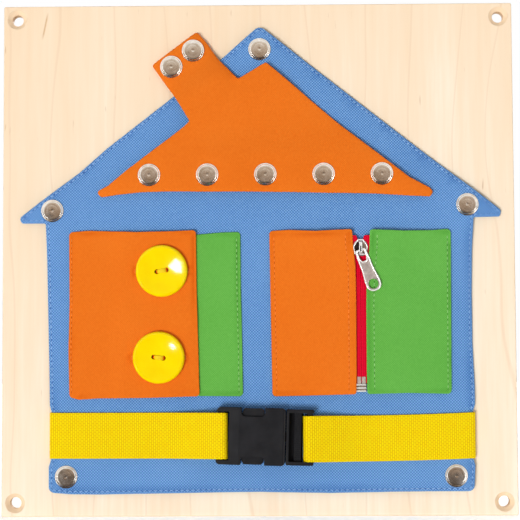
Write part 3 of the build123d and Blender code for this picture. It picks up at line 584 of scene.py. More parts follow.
def house_depth(x, z, edge):
    """The front's depth in mm: rippled at the foot, drooping at the edge, dimpled at the studs."""
    near_foot = np.exp((HOUSE_FOOT - z) / 7.0) if z < HOUSE_FOOT + 20 else 0.0
    ripple = RIPPLE * sin(x / RIPPLE_LONG + 0.6) * near_foot
    free = 1 - min(1, dip(x, z, house_snaps, deep=1.0, reach=20.0))
    above_strap = min(1, max(0, (z - STRAP_TOP) / 20))
    droop = (STRAP_DROOP + WALL_DROOP * above_strap) * free * np.exp(-edge / 10.0)
    return house_front + ripple - droop - dip(x, z, house_snaps, deep=0.45, reach=8.5)


house_cloth = cut_cloth("house_cloth", house_outline, 5.0)
sew_cloth(house_cloth, house_outline, house_front - house_back, house_depth)
dress(house_cloth, blue_twill, "house")
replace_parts(house_cloth, "house_front_cloth", "house_backing_cloth")
ring = shifted_in(house_outline, SEAM_IN)
house_seam = stitches("house_seam", np.vstack((ring, ring[:1])), tree_of(house_cloth), STITCH_LONG,
                      STITCH_PITCH, 0.6, needle_hole_shade["blue"])
dress(house_seam, blue_thread, "house")
print("house cloth", len(house_cloth.data.polygons), "faces, stitches", len(house_seam.data.polygons))

# %% [markdown]
# ## Orange roof
# The roof and its chimney are one piece of orange cloth, also sewn double and turned, so no stitches
# show. Seven press studs hold it: five along the eave and two on the chimney, which leans back to the
# board. Its depth is read off the CAD solid, and the cloth bulges a little between the studs.

# %% Orange roof
ROOF = (
    (5.8, 129.2, 2), (23.8, 114.0, 0), (53.1, 88.6, 0), (82.4, 65.8, 0), (99.7, 52.4, 0), (113.4, 45.3, 1.6),
    (115.6, 42.6, 1.6), (113.6, 39.4, 1.6), (99.5, 39.9, 0), (77.8, 41.3, 0), (44.9, 42.0, 0), (1.5, 43.0, 0),
    (-60.5, 43.4, 0), (-76.9, 43.1, 0), (-93.4, 41.4, 0), (-103.2, 40.0, 2.0), (-107.0, 43.5, 2.0),
    (-98.8, 47.6, 0), (-86.2, 58.0, 0), (-70.9, 69.7, 0), (-54.5, 81.9, 0), (-48.4, 86.8, 0),
    (-44.9, 90.2, 1), (-50.5, 99.7, 0), (-55.9, 108.4, 0), (-70.4, 128.8, 2), (-40.3, 151.4, 2),
    (-33.4, 143.2, 0), (-25.4, 131.6, 0), (-12.6, 118.2, 1.2))
roof_tree = tree_of(nodes["roof_front_cloth"])
roof_snaps = spots("roof_snap_caps")
roof_outline = rounded(ROOF)
ROOF_THICK, ROOF_DROOP, CHIMNEY_DROOP, CHIMNEY_FOOT = 1.8, 3.3, 2.2, 98.0
EAVE_FIRST, EAVE_PITCH, EAVE_LEVEL = -71.5, 38.5, 47.0


def lay(tree, x, z, inwards):
    """Depth of a CAD front at (x, z), looked for further inwards where the cloth hangs over it."""
    for share in (0, 0.01, 0.02, 0.04, 0.06, 0.1, 0.15):
        deep = depth_on(tree, x + (inwards[0] - x) * share, z + (inwards[1] - z) * share)
        if deep is not None:
            return deep
    raise ValueError(f"no CAD surface near {x:.1f}, {z:.1f}")


def roof_depth(x, z, edge):
    """The front's depth in mm: swollen between the eave's studs and drooping away from them."""
    middle = (-42.0, 112.0) if z > 92 and x < -5 else (5.0, 70.0)
    swell = 0.5 * (1 - cos((x - EAVE_FIRST) / EAVE_PITCH * 2 * pi)) * np.exp(-((z - EAVE_LEVEL) / 14) ** 2)
    free = 1 - min(1, dip(x, z, roof_snaps, deep=1.0, reach=27.0))
    droop = ROOF_DROOP * free * min(1, max(0, (110 - z + x / 2) / 25))
    if z > CHIMNEY_FOOT and x < -15:
        chimney = min(1, (z - CHIMNEY_FOOT) / 14)
        free = 1 - min(1, dip(x, z, roof_snaps, deep=1.0, reach=11.0))
        droop += CHIMNEY_DROOP * chimney * free * np.exp(-edge / 5.0)
    return lay(roof_tree, x, z, middle) + swell - droop - dip(x, z, roof_snaps, deep=0.35, reach=8.5)


roof_cloth = cut_cloth("roof_cloth", roof_outline, 4.0)
sew_cloth(roof_cloth, roof_outline, ROOF_THICK, roof_depth, seam_in=NO_SEAM)
dress(roof_cloth, orange_twill, "roof")
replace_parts(roof_cloth, "roof_front_cloth", "roof_backing_cloth")
print("roof cloth", len(roof_cloth.data.polygons), "faces")

# %% [markdown]
# ## Shutters
# Four cloth shutters are sewn to the house along their outer edges. The left orange one laps over the
# green one and has two real buttonholes, which show when it is unbuttoned. The right pair carries the
# zip: their free edges spread round the slider and close up over the tape below it. Every corner is
# rounded where the cloth was turned, and the edges are not quite straight.

# %% Shutters
BUTTON_AT = [((low.x + high.x) / 2 / MM, (low.z + high.z) / 2 / MM)
             for low, high in (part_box("upper_button"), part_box("lower_button"))]
SLIT_LONG, SLIT_WIDE = 34.0, 1.6
button_slits = [(x - SLIT_LONG / 2, x + SLIT_LONG / 2, z - SLIT_WIDE / 2, z + SLIT_WIDE / 2)
                for x, z in BUTTON_AT]
SHUTTERS = {
    "orange_button_flap": (
        (-124.8, 17.2, 2.5), (-112, 18.2, 0), (-80, 17.0, 0), (-55, 17.5, 0), (-40.8, 18.2, 2.5),
        (-40.4, -20, 0), (-38.6, -91.0, 2.5), (-70, -91.9, 0), (-105, -92.2, 0), (-118, -93.0, 0),
        (-124.4, -91.4, 3), (-125.0, -60, 0), (-124.4, -30, 0)),
    "green_under_flap": (
        (-84.0, 15.2, 2), (-40, 15.3, 0), (-24, 16.6, 0), (-11.6, 16.9, 2.5), (-11.4, -20, 0),
        (-10.6, -60, 0), (-10.2, -91.2, 2.5), (-30, -91.0, 0), (-84.0, -90.4, 2)),
    "orange_zip_flap": (
        (7.4, 17.4, 2.5), (20, 17.9, 0), (38, 17.0, 0), (61.9, 18.1, 1.6), (62.4, 8, 0), (63.2, 0, 0),
        (63.9, -7, 0), (64.1, -30, 0), (64.0, -76, 0), (63.7, -90.0, 1.6), (36, -90.8, 0), (9.0, -91.4, 2.5),
        (8.2, -40, 0)),
    "green_zip_flap": (
        (73.4, 17.9, 1.6), (96, 16.9, 0), (114, 17.2, 0), (126.9, 18.3, 2.5), (126.6, -35, 0),
        (126.2, -90.2, 2.5), (98, -89.4, 0), (70.8, -90.0, 1.6), (70.6, -76, 0), (70.6, -32, 0),
        (70.9, -20, 0), (71.6, -7, 0), (72.5, 0, 0), (73.1, 8, 0))}
SHUTTER_BODY = {"orange_button_flap": "left_orange_shutter", "green_under_flap": "left_green_shutter",
                "orange_zip_flap": "right_orange_shutter", "green_zip_flap": "right_green_shutter"}
FLAP_THICK, FLAP_TOP, FLAP_FOOT, CURL_REACH = 1.6, 18.0, -92.0, 7.0
BUTTON_FLAP_LEFT, BUTTON_FLAP_RIGHT = -125.0, -39.0


def flap_waves(name, x, z):
    """How far the cloth stands off its flat shape, in mm."""
    upper = np.exp((z - FLAP_TOP) / CURL_REACH)
    lower = np.exp((FLAP_FOOT - z) / CURL_REACH)
    if name == "orange_button_flap":
        lifted = np.exp((x - BUTTON_FLAP_RIGHT) / 8.0) * (0.5 + 0.7 * np.exp(-((z + 37) / 9) ** 2))
        share = (x - BUTTON_FLAP_LEFT) / (BUTTON_FLAP_RIGHT - BUTTON_FLAP_LEFT)
        sagging = (1.2 * upper + 0.7 * lower) * sin(share * pi)
        puckers = 0.15 * sin(z / 6.0) * np.exp((BUTTON_FLAP_LEFT - x) / 6)
        return lifted + sagging + puckers
    if name == "green_under_flap":
        return 0.0
    swing = (x - 7) / 55 if name == "orange_zip_flap" else (127 - x) / 54
    inner = 64 - x if name == "orange_zip_flap" else x - 71
    over_zip = 1.1 * np.exp(-max(inner, 0) / 5.0) * (1 - np.clip((z - 2) / 10, 0, 1))
    return over_zip + 1.2 * upper * sin(np.clip(swing, 0, 1) * pi)


flaps = {}
for name, corners in SHUTTERS.items():
    outline = rounded(corners)
    slits = button_slits if name == "orange_button_flap" else ()
    tree = tree_of(nodes[name])
    middle = outline.mean(axis=0)
    flap = cut_cloth(name + "_cloth", outline, 3.0, slits)
    sew_cloth(flap, outline, FLAP_THICK,
              lambda x, z, edge: lay(tree, x, z, middle) + flap_waves(name, x, z), slits)
    cloth = orange_twill if name.startswith("orange") else green_twill
    dress(flap, cloth, SHUTTER_BODY[name])
    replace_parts(flap, name)
    flaps[name] = (flap, outline)
    print(name, len(flap.data.polygons), "faces")

# %% [markdown]
# Each shutter has its rows of stitches where the photograph shows them: along the sewn edge, and on
# the zip shutters also beside the zip tape. The buttonholes are edged with close stitches.

# %% Shutter stitches
def upright(outline, right, inset):
    """The left or right edge of a shutter, moved inwards, without its corners."""
    ring = shifted_in(outline, inset)
    x, z = outline.T
    middle = (x.min() + x.max()) / 2
    keep = (z < z.max() - 4) & (z > z.min() + 4) & ((x > middle) == right)
    keep &= np.abs(x - (x.max() if right else x.min())) < 4
    line = ring[keep]
    line = line[np.argsort(-line[:, 1])]
    top, bottom = line[0] + (0, 2), line[-1] - (0, 2)
    return np.vstack((top, line, bottom))


SEAMS = (("orange_button_flap", False, orange_thread, 1.7), ("green_under_flap", True, green_thread, 2.6),
         ("orange_zip_flap", False, orange_thread, 3.0), ("orange_zip_flap", True, orange_thread, 4.9),
         ("green_zip_flap", False, green_thread, 5.0), ("green_zip_flap", True, green_thread, 2.4))
flap_seams = {name: [] for name in flaps}
for name, right, thread, inset in SEAMS:
    flap, outline = flaps[name]
    colour = thread.name.split()[0]
    row = stitches(f"{name}_seam_{'right' if right else 'left'}", upright(outline, right, inset),
                   tree_of(flap), STITCH_LONG, STITCH_PITCH, 0.62, needle_hole_shade[colour])
    flap_seams[name].append(dress(row, thread, SHUTTER_BODY[name]))
for number, (x0, x1, z0, z1) in enumerate(button_slits):
    flap = flaps["orange_button_flap"][0]
    loop = rounded(((x0, z0, 1), (x1, z0, 1), (x1, z1, 1), (x0, z1, 1)), 2.0)
    loop = shifted_in(loop, -0.9)
    row = stitches(f"buttonhole_{number + 1}", np.vstack((loop, loop[:1])), tree_of(flap),
                   length=0.9, pitch=0.95, width=1.1)
    flap_seams["orange_button_flap"].append(dress(row, orange_thread, "left_orange_shutter"))
for name, (flap, outline) in flaps.items():
    low, high = outline.min(axis=0), outline.max(axis=0)
print("rows of stitches:", sum(len(rows) for rows in flap_seams.values()))

# %% [markdown]
# ## Zip
# The zip is a red tape with a spiral coil behind each side. The tape is knitted in fine ribs and rows, and
# the coil is a smooth nylon wire of the same red.

# %% Zip finishes
red_tape = finish("red zip tape", Roughness=0.85, Specular_IOR_Level=0.1)
_, x, _, z = places(red_tape)
knit = sums(red_tape, "ADD", waves(red_tape, x, 1.3), waves(red_tape, z, 0.9))
knit = sums(red_tape, "MULTIPLY", knit, 0.12)
wire(red_tape, Base_Color=ramp(red_tape, sums(red_tape, "ADD", knit, 0.5),
                               ((0.0, (178, 0, 32)), (0.5, (226, 2, 44)), (1.0, (244, 36, 72)))))
bumped(red_tape, knit, 0.15 * MM)
red_coil = finish("red zip coil", Roughness=0.35)
grain = noise(red_coil, places(red_coil)[0], 1800.0, 2.0)
wire(red_coil, Base_Color=ramp(red_coil, grain, ((0.2, (170, 0, 32)), (0.8, (224, 20, 56)))))
print("zip finishes:", red_tape.name, red_coil.name)

# %% [markdown]
# Each tape goes with its own shutter. Above the slider the two tapes part in a V, which is drawn into their
# outlines. A coil is a thin wire wound round and round, which the Screw modifier makes from one small ring.

# %% Zip tape and coils
TAPE_PART, TAPE_TOP = 2.6, 5.9
COIL_WIRE, COIL_PITCH = 0.28 * MM, 1.3 * MM
zip_x = (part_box("zip_coil_left")[1].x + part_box("zip_coil_right")[0].x) / 2 / MM
for side, sign, body in (("left", -1, "right_orange_shutter"), ("right", 1, "right_green_shutter")):
    low, high = [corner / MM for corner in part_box("zip_tape_" + side)]
    inner, outer = zip_x + sign * 0.01, low.x if sign < 0 else high.x
    outline = rounded(((inner, low.z, 0.4), (outer, low.z, 0.4), (outer, high.z - 1.4, 0.8),
                       (zip_x + sign * TAPE_TOP, high.z, 0.8), (zip_x + sign * TAPE_PART, high.z - 0.3, 0.6),
                       (zip_x + sign * 1.0, high.z - 4.6, 0), (inner, high.z - 7.7, 2.0)), 3.0)
    tape = cut_cloth("zip_tape_cloth_" + side, outline, 3.0)
    sew_cloth(tape, outline, high.y - low.y, lambda x, z, edge: -low.y, seam_in=NO_SEAM)
    dress(tape, red_tape, body)
    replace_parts(tape, "zip_tape_" + side)
    low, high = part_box("zip_coil_" + side)
    around = ((high.x - low.x) / 2 - COIL_WIRE, (high.y - low.y) / 2 - COIL_WIRE)
    bpy.ops.mesh.primitive_circle_add(vertices=6, radius=COIL_WIRE, location=(0, 0, 0),
                                      rotation=(pi / 2, 0, 0))
    coil = bpy.context.object
    coil.name = "zip_coil_wire_" + side
    bpy.ops.object.transform_apply(rotation=True)
    edit(coil)
    bpy.ops.transform.translate(value=(around[0], 0, 0))
    done()
    wind = coil.modifiers.new("wind", "SCREW")
    wind.screw_offset = COIL_PITCH
    wind.iterations = int((high.z - low.z - 2 * COIL_WIRE) / COIL_PITCH)
    wind.steps = wind.render_steps = 10
    bpy.ops.object.modifier_apply(modifier="wind")
    edit(coil)
    bpy.ops.mesh.normals_make_consistent(inside=False)
    bpy.ops.transform.resize(value=(1, around[1] / around[0], 1), center_override=(0, 0, 0))
    bpy.ops.transform.translate(value=((low.x + high.x) / 2, (low.y + high.y) / 2, low.z + COIL_WIRE))
    done()
    bpy.ops.object.shade_smooth()
    dress(coil, red_coil, body)
    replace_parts(coil, "zip_coil_" + side)
    print("zip", side, len(tape.data.polygons), "tape faces,", len(coil.data.polygons), "coil faces")

# %% [markdown]
# ## Belt
# The belt is ribbed polyester webbing, 30 mm wide. Each half is sewn to the house's edge, runs to the
# buckle, turns round a bar and comes back under itself. A brick pattern along its own length gives the
# basket weave, so it also follows the turns.

# %% Webbing
webbing = finish("yellow webbing", Roughness=0.8, Specular_IOR_Level=0.08)
weave = node(webbing, "TexBrick", {"Vector": places(webbing, "UV")[0], "Scale": 1.0,
                                   "Mortar Size": 0.2, "Mortar Smooth": 0.9,
                                   "Brick Width": 2.3, "Row Height": 1.4,
                                   "Color1": paint(255, 230, 4), "Color2": paint(255, 222, 0),
                                   "Mortar": paint(222, 160, 0)})
dust = noise(webbing, places(webbing, "UV")[0], 0.35, 3.0)
wire(webbing, Base_Color=mixed(webbing, sums(webbing, "MULTIPLY", dust, 0.3), weave, paint(255, 216, 14)))
bumped(webbing, sums(webbing, "MULTIPLY", weave.node.outputs["Fac"], -1.0), 0.25 * MM, 0.8)
print("webbing finish ready")

# %% [markdown]
# The two halves differ only in side, so one loop makes both. Each is a flat grid laid along the middle line
# of the strap, then thickened, and the right half bows a little. The left half rides on the house. The right
# one rides on no body; its place is baked into its mesh.

# %% Belt
BAR_LOOP = 3.3
WEB_THICK, WEB_GAP = 1.4, 0.3
WEB_FOLD = {-1: -136.9, 1: 141.1}
WEB_LEVEL = {-1: ((-137.0, -116.5), (-24.0, -116.6)), 1: ((28.9, -118.85), (141.2, -117.2))}
WEB_BOW = {-1: 0.0, 1: 0.75}
buckle_middle = -(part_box("buckle_shell")[0].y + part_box("buckle_shell")[1].y) / 2 / MM
web_depth = house_front + WEB_GAP + WEB_THICK / 2


def strap_path(side, name):
    """Middle line of a strap as (x, depth): behind the house, round its edge, to the bar and back."""
    low, high = [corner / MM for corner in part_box(name)]
    bar = (high.x if side < 0 else low.x) + side * (BAR_LOOP + WEB_THICK / 2)
    fold = WEB_FOLD[side]
    second = web_depth + WEB_THICK + WEB_GAP / 2
    behind = house_back - WEB_GAP - WEB_THICK / 2
    over, under = buckle_middle + BAR_LOOP, buckle_middle - BAR_LOOP
    sag = [(fold - side * inside, STRAP_DROOP * np.exp(-inside / 10.0)) for inside in (20, 12, 6, 0)]
    corners = ([(x, behind - fall, 0) for x, fall in sag[:-1]]
               + [(fold, behind - STRAP_DROOP, 1), (fold, web_depth - STRAP_DROOP, 1)]
               + [(x, web_depth - fall, 0) for x, fall in sag[-2::-1]])
    corners += ((bar + side * 44, web_depth, 60), (bar + side * 29, second, 50), (bar + side * 1.2, over, 8),
                (bar - side * BAR_LOOP, over, 3.2), (bar - side * BAR_LOOP, under, 3.2),
                (bar + side * BAR_LOOP, under, 1.4), (bar + side * 7, web_depth, 1.4),
                (bar + side * 26.2, web_depth, 0))
    return rounded(corners, 2.5, closed=False)


for side, name in ((-1, "left_strap"), (1, "right_strap")):
    path = strap_path(side, name)
    gone = np.concatenate(([0], np.cumsum(np.linalg.norm(np.diff(path, axis=0), axis=1))))
    low, high = [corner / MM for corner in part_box(name)]
    wide = high.z - low.z
    bpy.ops.mesh.primitive_grid_add(x_subdivisions=len(path) - 1, y_subdivisions=12, size=1,
                                    location=(0, 0, 0))
    strap = bpy.context.object
    strap.name = name + "_webbing"
    steps = np.array([vertex.co for vertex in strap.data.vertices]) + 0.5
    spot = np.rint(steps[:, 0] * (len(path) - 1)).astype(int)
    across = (steps[:, 1] - 0.5) * wide
    (x0, z0), (x1, z1) = WEB_LEVEL[side]
    share = (path[spot, 0] - x0) / (x1 - x0)
    level = z0 + share * (z1 - z0) - WEB_BOW[side] * np.sin(pi * np.clip(share, 0, 1))
    for vertex, (x, deep), z in zip(strap.data.vertices, path[spot], level + across):
        vertex.co = (x * MM, -deep * MM, z * MM)
    for loop, uv in zip(strap.data.loops, strap.data.uv_layers[0].data):
        uv.uv = (across[loop.vertex_index], gone[spot[loop.vertex_index]])
    take(strap)
    body = strap.modifiers.new("body", "SOLIDIFY")
    body.thickness = WEB_THICK * MM
    body.offset = 0
    rim = strap.modifiers.new("rim", "BEVEL")
    rim.width = 0.45 * MM
    rim.segments = 3
    rim.limit_method = "ANGLE"
    rim.angle_limit = radians(50)
    bpy.ops.object.modifier_apply(modifier="body")
    bpy.ops.object.modifier_apply(modifier="rim")
    bpy.ops.object.shade_smooth_by_angle(angle=radians(40))
    dress(strap, webbing, "house" if side < 0 else None)
    if side > 0:
        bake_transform(strap)
    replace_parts(strap, name)
    print(name, "webbing", round(gone[-1]), "mm long,", len(strap.data.polygons), "faces")

# %% [markdown]
# ## Button thread
# Each button hangs on a few turns of thread that go down one hole, through the cloth and up the other.
# A turn is a ring, so one torus is flattened to reach from the cloth to just above the button, and two
# more are laid beside it, each a little askew. Down in the holes the thread is painted red-brown: painted
# bounce light from the orange cloth, which alone lights it there.

# %% Button thread
HOLE_PITCH, BUTTON_SINK, STRAND = 6.2, 1.3, 0.5
TURN_GAP, TURN_SKEW, BEHIND_BUTTON = 0.8, 0.06, 2.7
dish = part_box("upper_button")[0].y + BUTTON_SINK * MM
# Painted bounce light: below the button's face the thread is mixed to red-brown.
painted_bounce_share = faded(yellow_thread, places(yellow_thread)[2], dish - 0.15 * MM, dish + 0.5 * MM)
plain = yellow_thread.node_tree.nodes["Principled BSDF"].inputs["Base Color"].links[0].from_socket
wire(yellow_thread, Base_Color=mixed(yellow_thread, painted_bounce_share, plain, paint(255, 84, 0)))
for name, twist in (("upper_button", 10), ("lower_button", -8)):
    low, high = [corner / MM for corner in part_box(name)]
    top = -low.y - BUTTON_SINK + STRAND
    bottom = -high.y - BEHIND_BUTTON
    turns = []
    for offset in (-TURN_GAP, 0.0, TURN_GAP):
        bpy.ops.mesh.primitive_torus_add(major_radius=(HOLE_PITCH / 2 + 0.4) * MM, minor_radius=STRAND * MM,
                                         major_segments=36, minor_segments=8, location=(0, 0, 0))
        turns.append(bpy.context.object)
        edit(turns[-1])
        bpy.ops.transform.resize(value=(1, (top - bottom) / HOLE_PITCH, 1), center_override=(0, 0, 0))
        bpy.ops.transform.rotate(value=offset * TURN_SKEW, orient_axis="Y", center_override=(0, 0, 0))
        bpy.ops.transform.translate(value=(0, -(top + bottom) / 2 * MM, offset * MM))
        done()
    thread = joined(name + "_turns", turns)
    middle = Vector((low.x + high.x, 0, low.z + high.z)) / 2 * MM
    thread.data.transform(Matrix.Translation(middle) @ Matrix.Rotation(radians(-twist), 4, "Y"))
    bpy.ops.object.shade_smooth()
    dress(thread, yellow_thread, name)
    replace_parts(thread, name + "_thread")
    print(thread.name, len(thread.data.polygons), "faces")

# %% [markdown]
# ## Birch board
# The board is birch plywood, sanded and left almost bare. The grain runs upwards, with faint growth rings,
# a few short brown flecks and one longer streak near the left corner. The face also grows lighter towards
# the right and towards the bottom. Its sides and holes show the plies, which the finish finds by the way a
# face points, and the countersinks are painted a little browner: painted shade in their slopes.

# %% Birch board
STREAK_AT, STREAK_LONG, STREAK_WIDE, STREAK_LEAN = (-0.1423, 0.1565), 0.0095, 0.0009, 0.2
PLY_PITCH = 2.57
birch = finish("birch plywood", Roughness=0.55, Specular_IOR_Level=0.3)
where, x, y, z = places(birch)
streaks = noise(birch, stretched(birch, where, (1, 1, 0.05)), 260.0, 4.0, 0.6)
broad = noise(birch, stretched(birch, where, (1, 1, 0.15)), 26.0, 2.0)
tone = 0.0
# The x and z terms make the face lighter towards the right and towards the bottom.
for part, weight in ((streaks, 0.4), (broad, 0.6), (x, 0.3), (z, -0.75)):
    tone = added(birch, tone, part, weight)
face = ramp(birch, tone, ((0.25, (249, 221, 187)), (0.50, (252, 229, 200)), (0.75, (255, 243, 222))))
rings = node(birch, "TexWave", {"Vector": stretched(birch, where, (1, 1, 0.3)), "Scale": 9.0,
                                "Distortion": 8.0, "Detail": 2.0, "Detail Scale": 1.1})
rings = faded(birch, rings.node.outputs["Fac"], 0.006, 0.0, 0.3)
face = mixed(birch, rings, face, paint(236, 200, 164))
flecks = noise(birch, stretched(birch, where, (1, 1, 0.16)), 330.0, 1.0)
flecks = faded(birch, flecks, 0.73, 0.80, 0.55)
face = mixed(birch, flecks, face, paint(196, 146, 92))
along = sums(birch, "SUBTRACT", z, STREAK_AT[1])
across = added(birch, sums(birch, "SUBTRACT", x, STREAK_AT[0]), along, -STREAK_LEAN)
thin = faded(birch, sums(birch, "ABSOLUTE", across), STREAK_WIDE, 0.0)
short = faded(birch, sums(birch, "ABSOLUTE", along), STREAK_LONG, STREAK_LONG / 2, 0.75)
face = mixed(birch, sums(birch, "MULTIPLY", thin, short), face, paint(204, 154, 96))
facing = birch.node_tree.nodes.new("ShaderNodeNewGeometry").outputs["True Normal"]
aslant = sums(birch, "ABSOLUTE", node(birch, "SeparateXYZ", {0: facing}).node.outputs[1])
plies = added(birch, 0.5, waves(birch, y, PLY_PITCH), 2.0)
side = ramp(birch, plies, ((0.2, (214, 176, 130)), (0.8, (246, 222, 188))))
bevel = faded(birch, aslant, 0.2, 0.3)
# Painted shade: slanting faces, as in the countersinks, get a browner colour.
face = mixed(birch, faded(birch, aslant, 0.90, 0.97), paint(249, 222, 188), face)
wire(birch, Base_Color=mixed(birch, bevel, side, face))
bumped(birch, streaks, 0.06 * MM, 0.4)
coat(birch, "plywood_board")

# %% [markdown]
# ## Metal
# The press studs are pressed from nickel-plated brass, so they are warm and show soft scuffs. The slider
# and its pull are die-cast zinc with a cooler, slightly grainy plating, and the pin and box at the zip's
# foot are tinned. A near-white zinc is painted highlight on raised rims, ridges and the bail, and a darker
# zinc is painted shade on the zip box's face between its ridges. They differ only in a few numbers, so one
# function makes them all.

# %% Metal
def metal(name, dark, light, rough, grain, share=1.0):
    """Plated metal with cloudy polish and fine scuffs."""
    plate = finish(name, Metallic=share)
    where = places(plate)[0]
    cloud = noise(plate, where, grain, 4.0, 0.6)
    wire(plate, Base_Color=ramp(plate, cloud, ((0.3, dark), (0.7, light))))
    polish = node(plate, "MapRange", {"Value": cloud, "To Min": rough - 0.06, "To Max": rough + 0.1})
    wire(plate, Roughness=polish)
    bumped(plate, noise(plate, where, grain * 3, 2.0), 0.01 * MM, 0.2)
    return plate


nickel = metal("nickel", (220, 210, 196), (248, 242, 234), 0.2, 240.0)
zinc = metal("zinc", (150, 144, 147), (196, 190, 192), 0.4, 500.0, 0.7)
stamped = metal("stamped zinc", (172, 162, 156), (218, 207, 200), 0.4, 500.0, 0.7)
# Painted shade: the darker zinc for the zip box's face between its ridges.
shade_zinc = metal("dull zinc", (118, 106, 94), (158, 143, 128), 0.5, 500.0, 0.7)
tin = metal("tin", (184, 168, 160), (222, 206, 198), 0.35, 500.0, 0.4)
# Painted highlight: a near-white zinc for raised rims, ridges and the bail.
highlight_zinc = metal("polished zinc", (240, 240, 238), (255, 255, 252), 0.2, 400.0, 0.3)
coat(nickel, "board_screw_studs", "house_snap_sockets", "eave_studs", "eave_stud_posts", "roof_snap_sockets")
coat(zinc, "zip_slider_body")
coat(tin, "zip_box", "zip_pin")
coat(highlight_zinc, "zip_slider_bail")
print("plated nodes: 9")

# %% [markdown]
# ## Press-stud caps
# A cap is pressed from thin sheet: a narrow flange, a broad, almost flat face with a faint ring from the
# tool, and a dimple where the post was set. It is round, so its half section is turned once round its axis
# with the Screw modifier, and the finished cap is copied to every stud.

# %% Press-stud caps
CAP_SECTION = (
    (0, 1.80), (0.5, 1.80), (0.8, 1.86), (1.1, 1.90), (1.5, 1.90), (2.6, 1.86), (3.6, 1.81), (3.8, 1.78),
    (4.0, 1.78), (4.8, 1.73), (5.4, 1.67), (5.85, 1.59), (6.15, 1.45), (6.38, 1.22), (6.52, 0.97),
    (6.62, 0.86), (6.8, 0.84), (7.1, 0.76), (7.35, 0.60), (7.5, 0.38), (7.42, 0.18), (7.2, 0.10), (0, 0.10))
CAD_CAP_HEIGHT = 2.3
bpy.ops.mesh.primitive_circle_add(vertices=len(CAP_SECTION), fill_type="NOTHING", location=(0, 0, 0))
cap = bpy.context.object
cap.name = "cap"
for vertex, (radius, height) in zip(cap.data.vertices, CAP_SECTION):
    vertex.co = (radius * MM, -height * MM, 0)
edit(cap)
bpy.ops.mesh.select_mode(type="VERT")
bpy.ops.mesh.select_all(action="DESELECT")
done()
for index in (0, len(CAP_SECTION) - 1):
    cap.data.vertices[index].select = True
bpy.ops.object.mode_set(mode="EDIT")
bpy.ops.mesh.delete(type="EDGE")
done()
lathe = cap.modifiers.new("lathe", "SCREW")
lathe.axis = "Y"
lathe.steps = lathe.render_steps = 56
bpy.ops.object.modifier_apply(modifier="lathe")
edit(cap)
bpy.ops.mesh.remove_doubles(threshold=0.01 * MM)
bpy.ops.mesh.normals_make_consistent(inside=False)
done()
bpy.ops.object.shade_smooth()
for name, studs, body in (("house_snap_caps", house_snaps, "house"), ("roof_snap_caps", roof_snaps, "roof")):
    copies = []
    for x, z, top in studs:
        copy = bpy.data.objects.new(name + "_pressed", cap.data.copy())
        bpy.context.collection.objects.link(copy)
        copy.data.transform(Matrix.Translation((x * MM, -(top - CAD_CAP_HEIGHT) * MM, z * MM)))
        copies.append(copy)
    caps = joined(name + "_pressed", copies)
    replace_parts(dress(caps, nickel, body), name)
    print(name, len(caps.data.polygons), "faces")
bpy.data.objects.remove(cap)

# %% [markdown]
# ## Pull and slider
# The pull is a stamped tab with a raised rim, an eye for the slider's bail and a finger hole. Its outline
# and holes are drawn as flat curves, thickened and turned into a mesh; the rims are round wires along
# the same lines. It hangs from the foot of the slider's bail and leans on the green shutter, so it rises a
# little towards its end.

# %% Pull
def drawn(name, loops, thick, soft, filled=True):
    """A plate from flat loops of (x, z) points in mm, or wires along them, facing the front at depth 0."""
    curve = bpy.data.curves.new(name, "CURVE")
    curve.dimensions = "2D" if filled else "3D"
    if filled:
        curve.fill_mode = "BOTH"
        curve.extrude = (thick / 2 - soft) * MM
    curve.bevel_depth = soft * MM
    curve.bevel_resolution = 2
    for loop in loops:
        spline = curve.splines.new("POLY")
        spline.points.add(len(loop) - 1)
        spline.use_cyclic_u = True
        for point, (x, z) in zip(spline.points, loop):
            point.co = (x * MM, z * MM, 0, 1)
    made = bpy.data.objects.new(name, curve)
    bpy.context.collection.objects.link(made)
    take(made)
    bpy.ops.object.convert(target="MESH")
    made = bpy.context.object
    made.data.transform(Matrix.Rotation(pi / 2, 4, "X"))
    edit(made)
    bpy.ops.mesh.remove_doubles(threshold=0.001 * MM)
    bpy.ops.mesh.normals_make_consistent(inside=False)
    done()
    bpy.ops.object.shade_smooth_by_angle(angle=radians(35))
    return made


PULL_TILT, PULL_LEAN, PULL_SHIFT, PULL_LEVEL = 21.0, 0.065, -0.35, 4.0
GRIP_AT, GRIP_R, WIRE_R, PULL_THICK = 23.7, 3.5, 0.42, 1.0
pull_low, pull_high = [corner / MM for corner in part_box("zip_pull_tab")]
tab = rounded(((-3.4, 0.35, 1.0), (-3.85, -5, 6), (-3.9, -14, 8), (-4.8, -21, 4), (-4.8, -28.4, 4.4),
               (4.8, -28.4, 4.4), (4.8, -21, 4), (3.9, -14, 8), (3.85, -5, 6), (3.4, 0.35, 1.0)), 1.5)
eye = rounded(((-2.3, -0.75, 0.6), (-2.4, -5.2, 1.0), (-1.4, -7.8, 1.0), (1.4, -7.8, 1.0), (2.4, -5.2, 1.0),
               (2.3, -0.75, 0.6)), 1.0)
swings = np.linspace(0, 2 * pi, 36, endpoint=False)
grip = np.array([(GRIP_R * cos(swing), GRIP_R * sin(swing) - GRIP_AT) for swing in swings])
pull = drawn("pull", [tab, eye, grip], PULL_THICK, 0.15)
rims = drawn("pull rims", [shifted_in(tab, WIRE_R), shifted_in(eye, -WIRE_R)], 0, WIRE_R, False)
rims.data.transform(Matrix.Translation((0, -WIRE_R * MM, 0)))
hung = Matrix.Translation(((zip_x + PULL_SHIFT) * MM, (pull_low.y + pull_high.y) / 2 * MM, PULL_LEVEL * MM))
hung = hung @ Matrix.Rotation(radians(-PULL_TILT), 4, "Y")
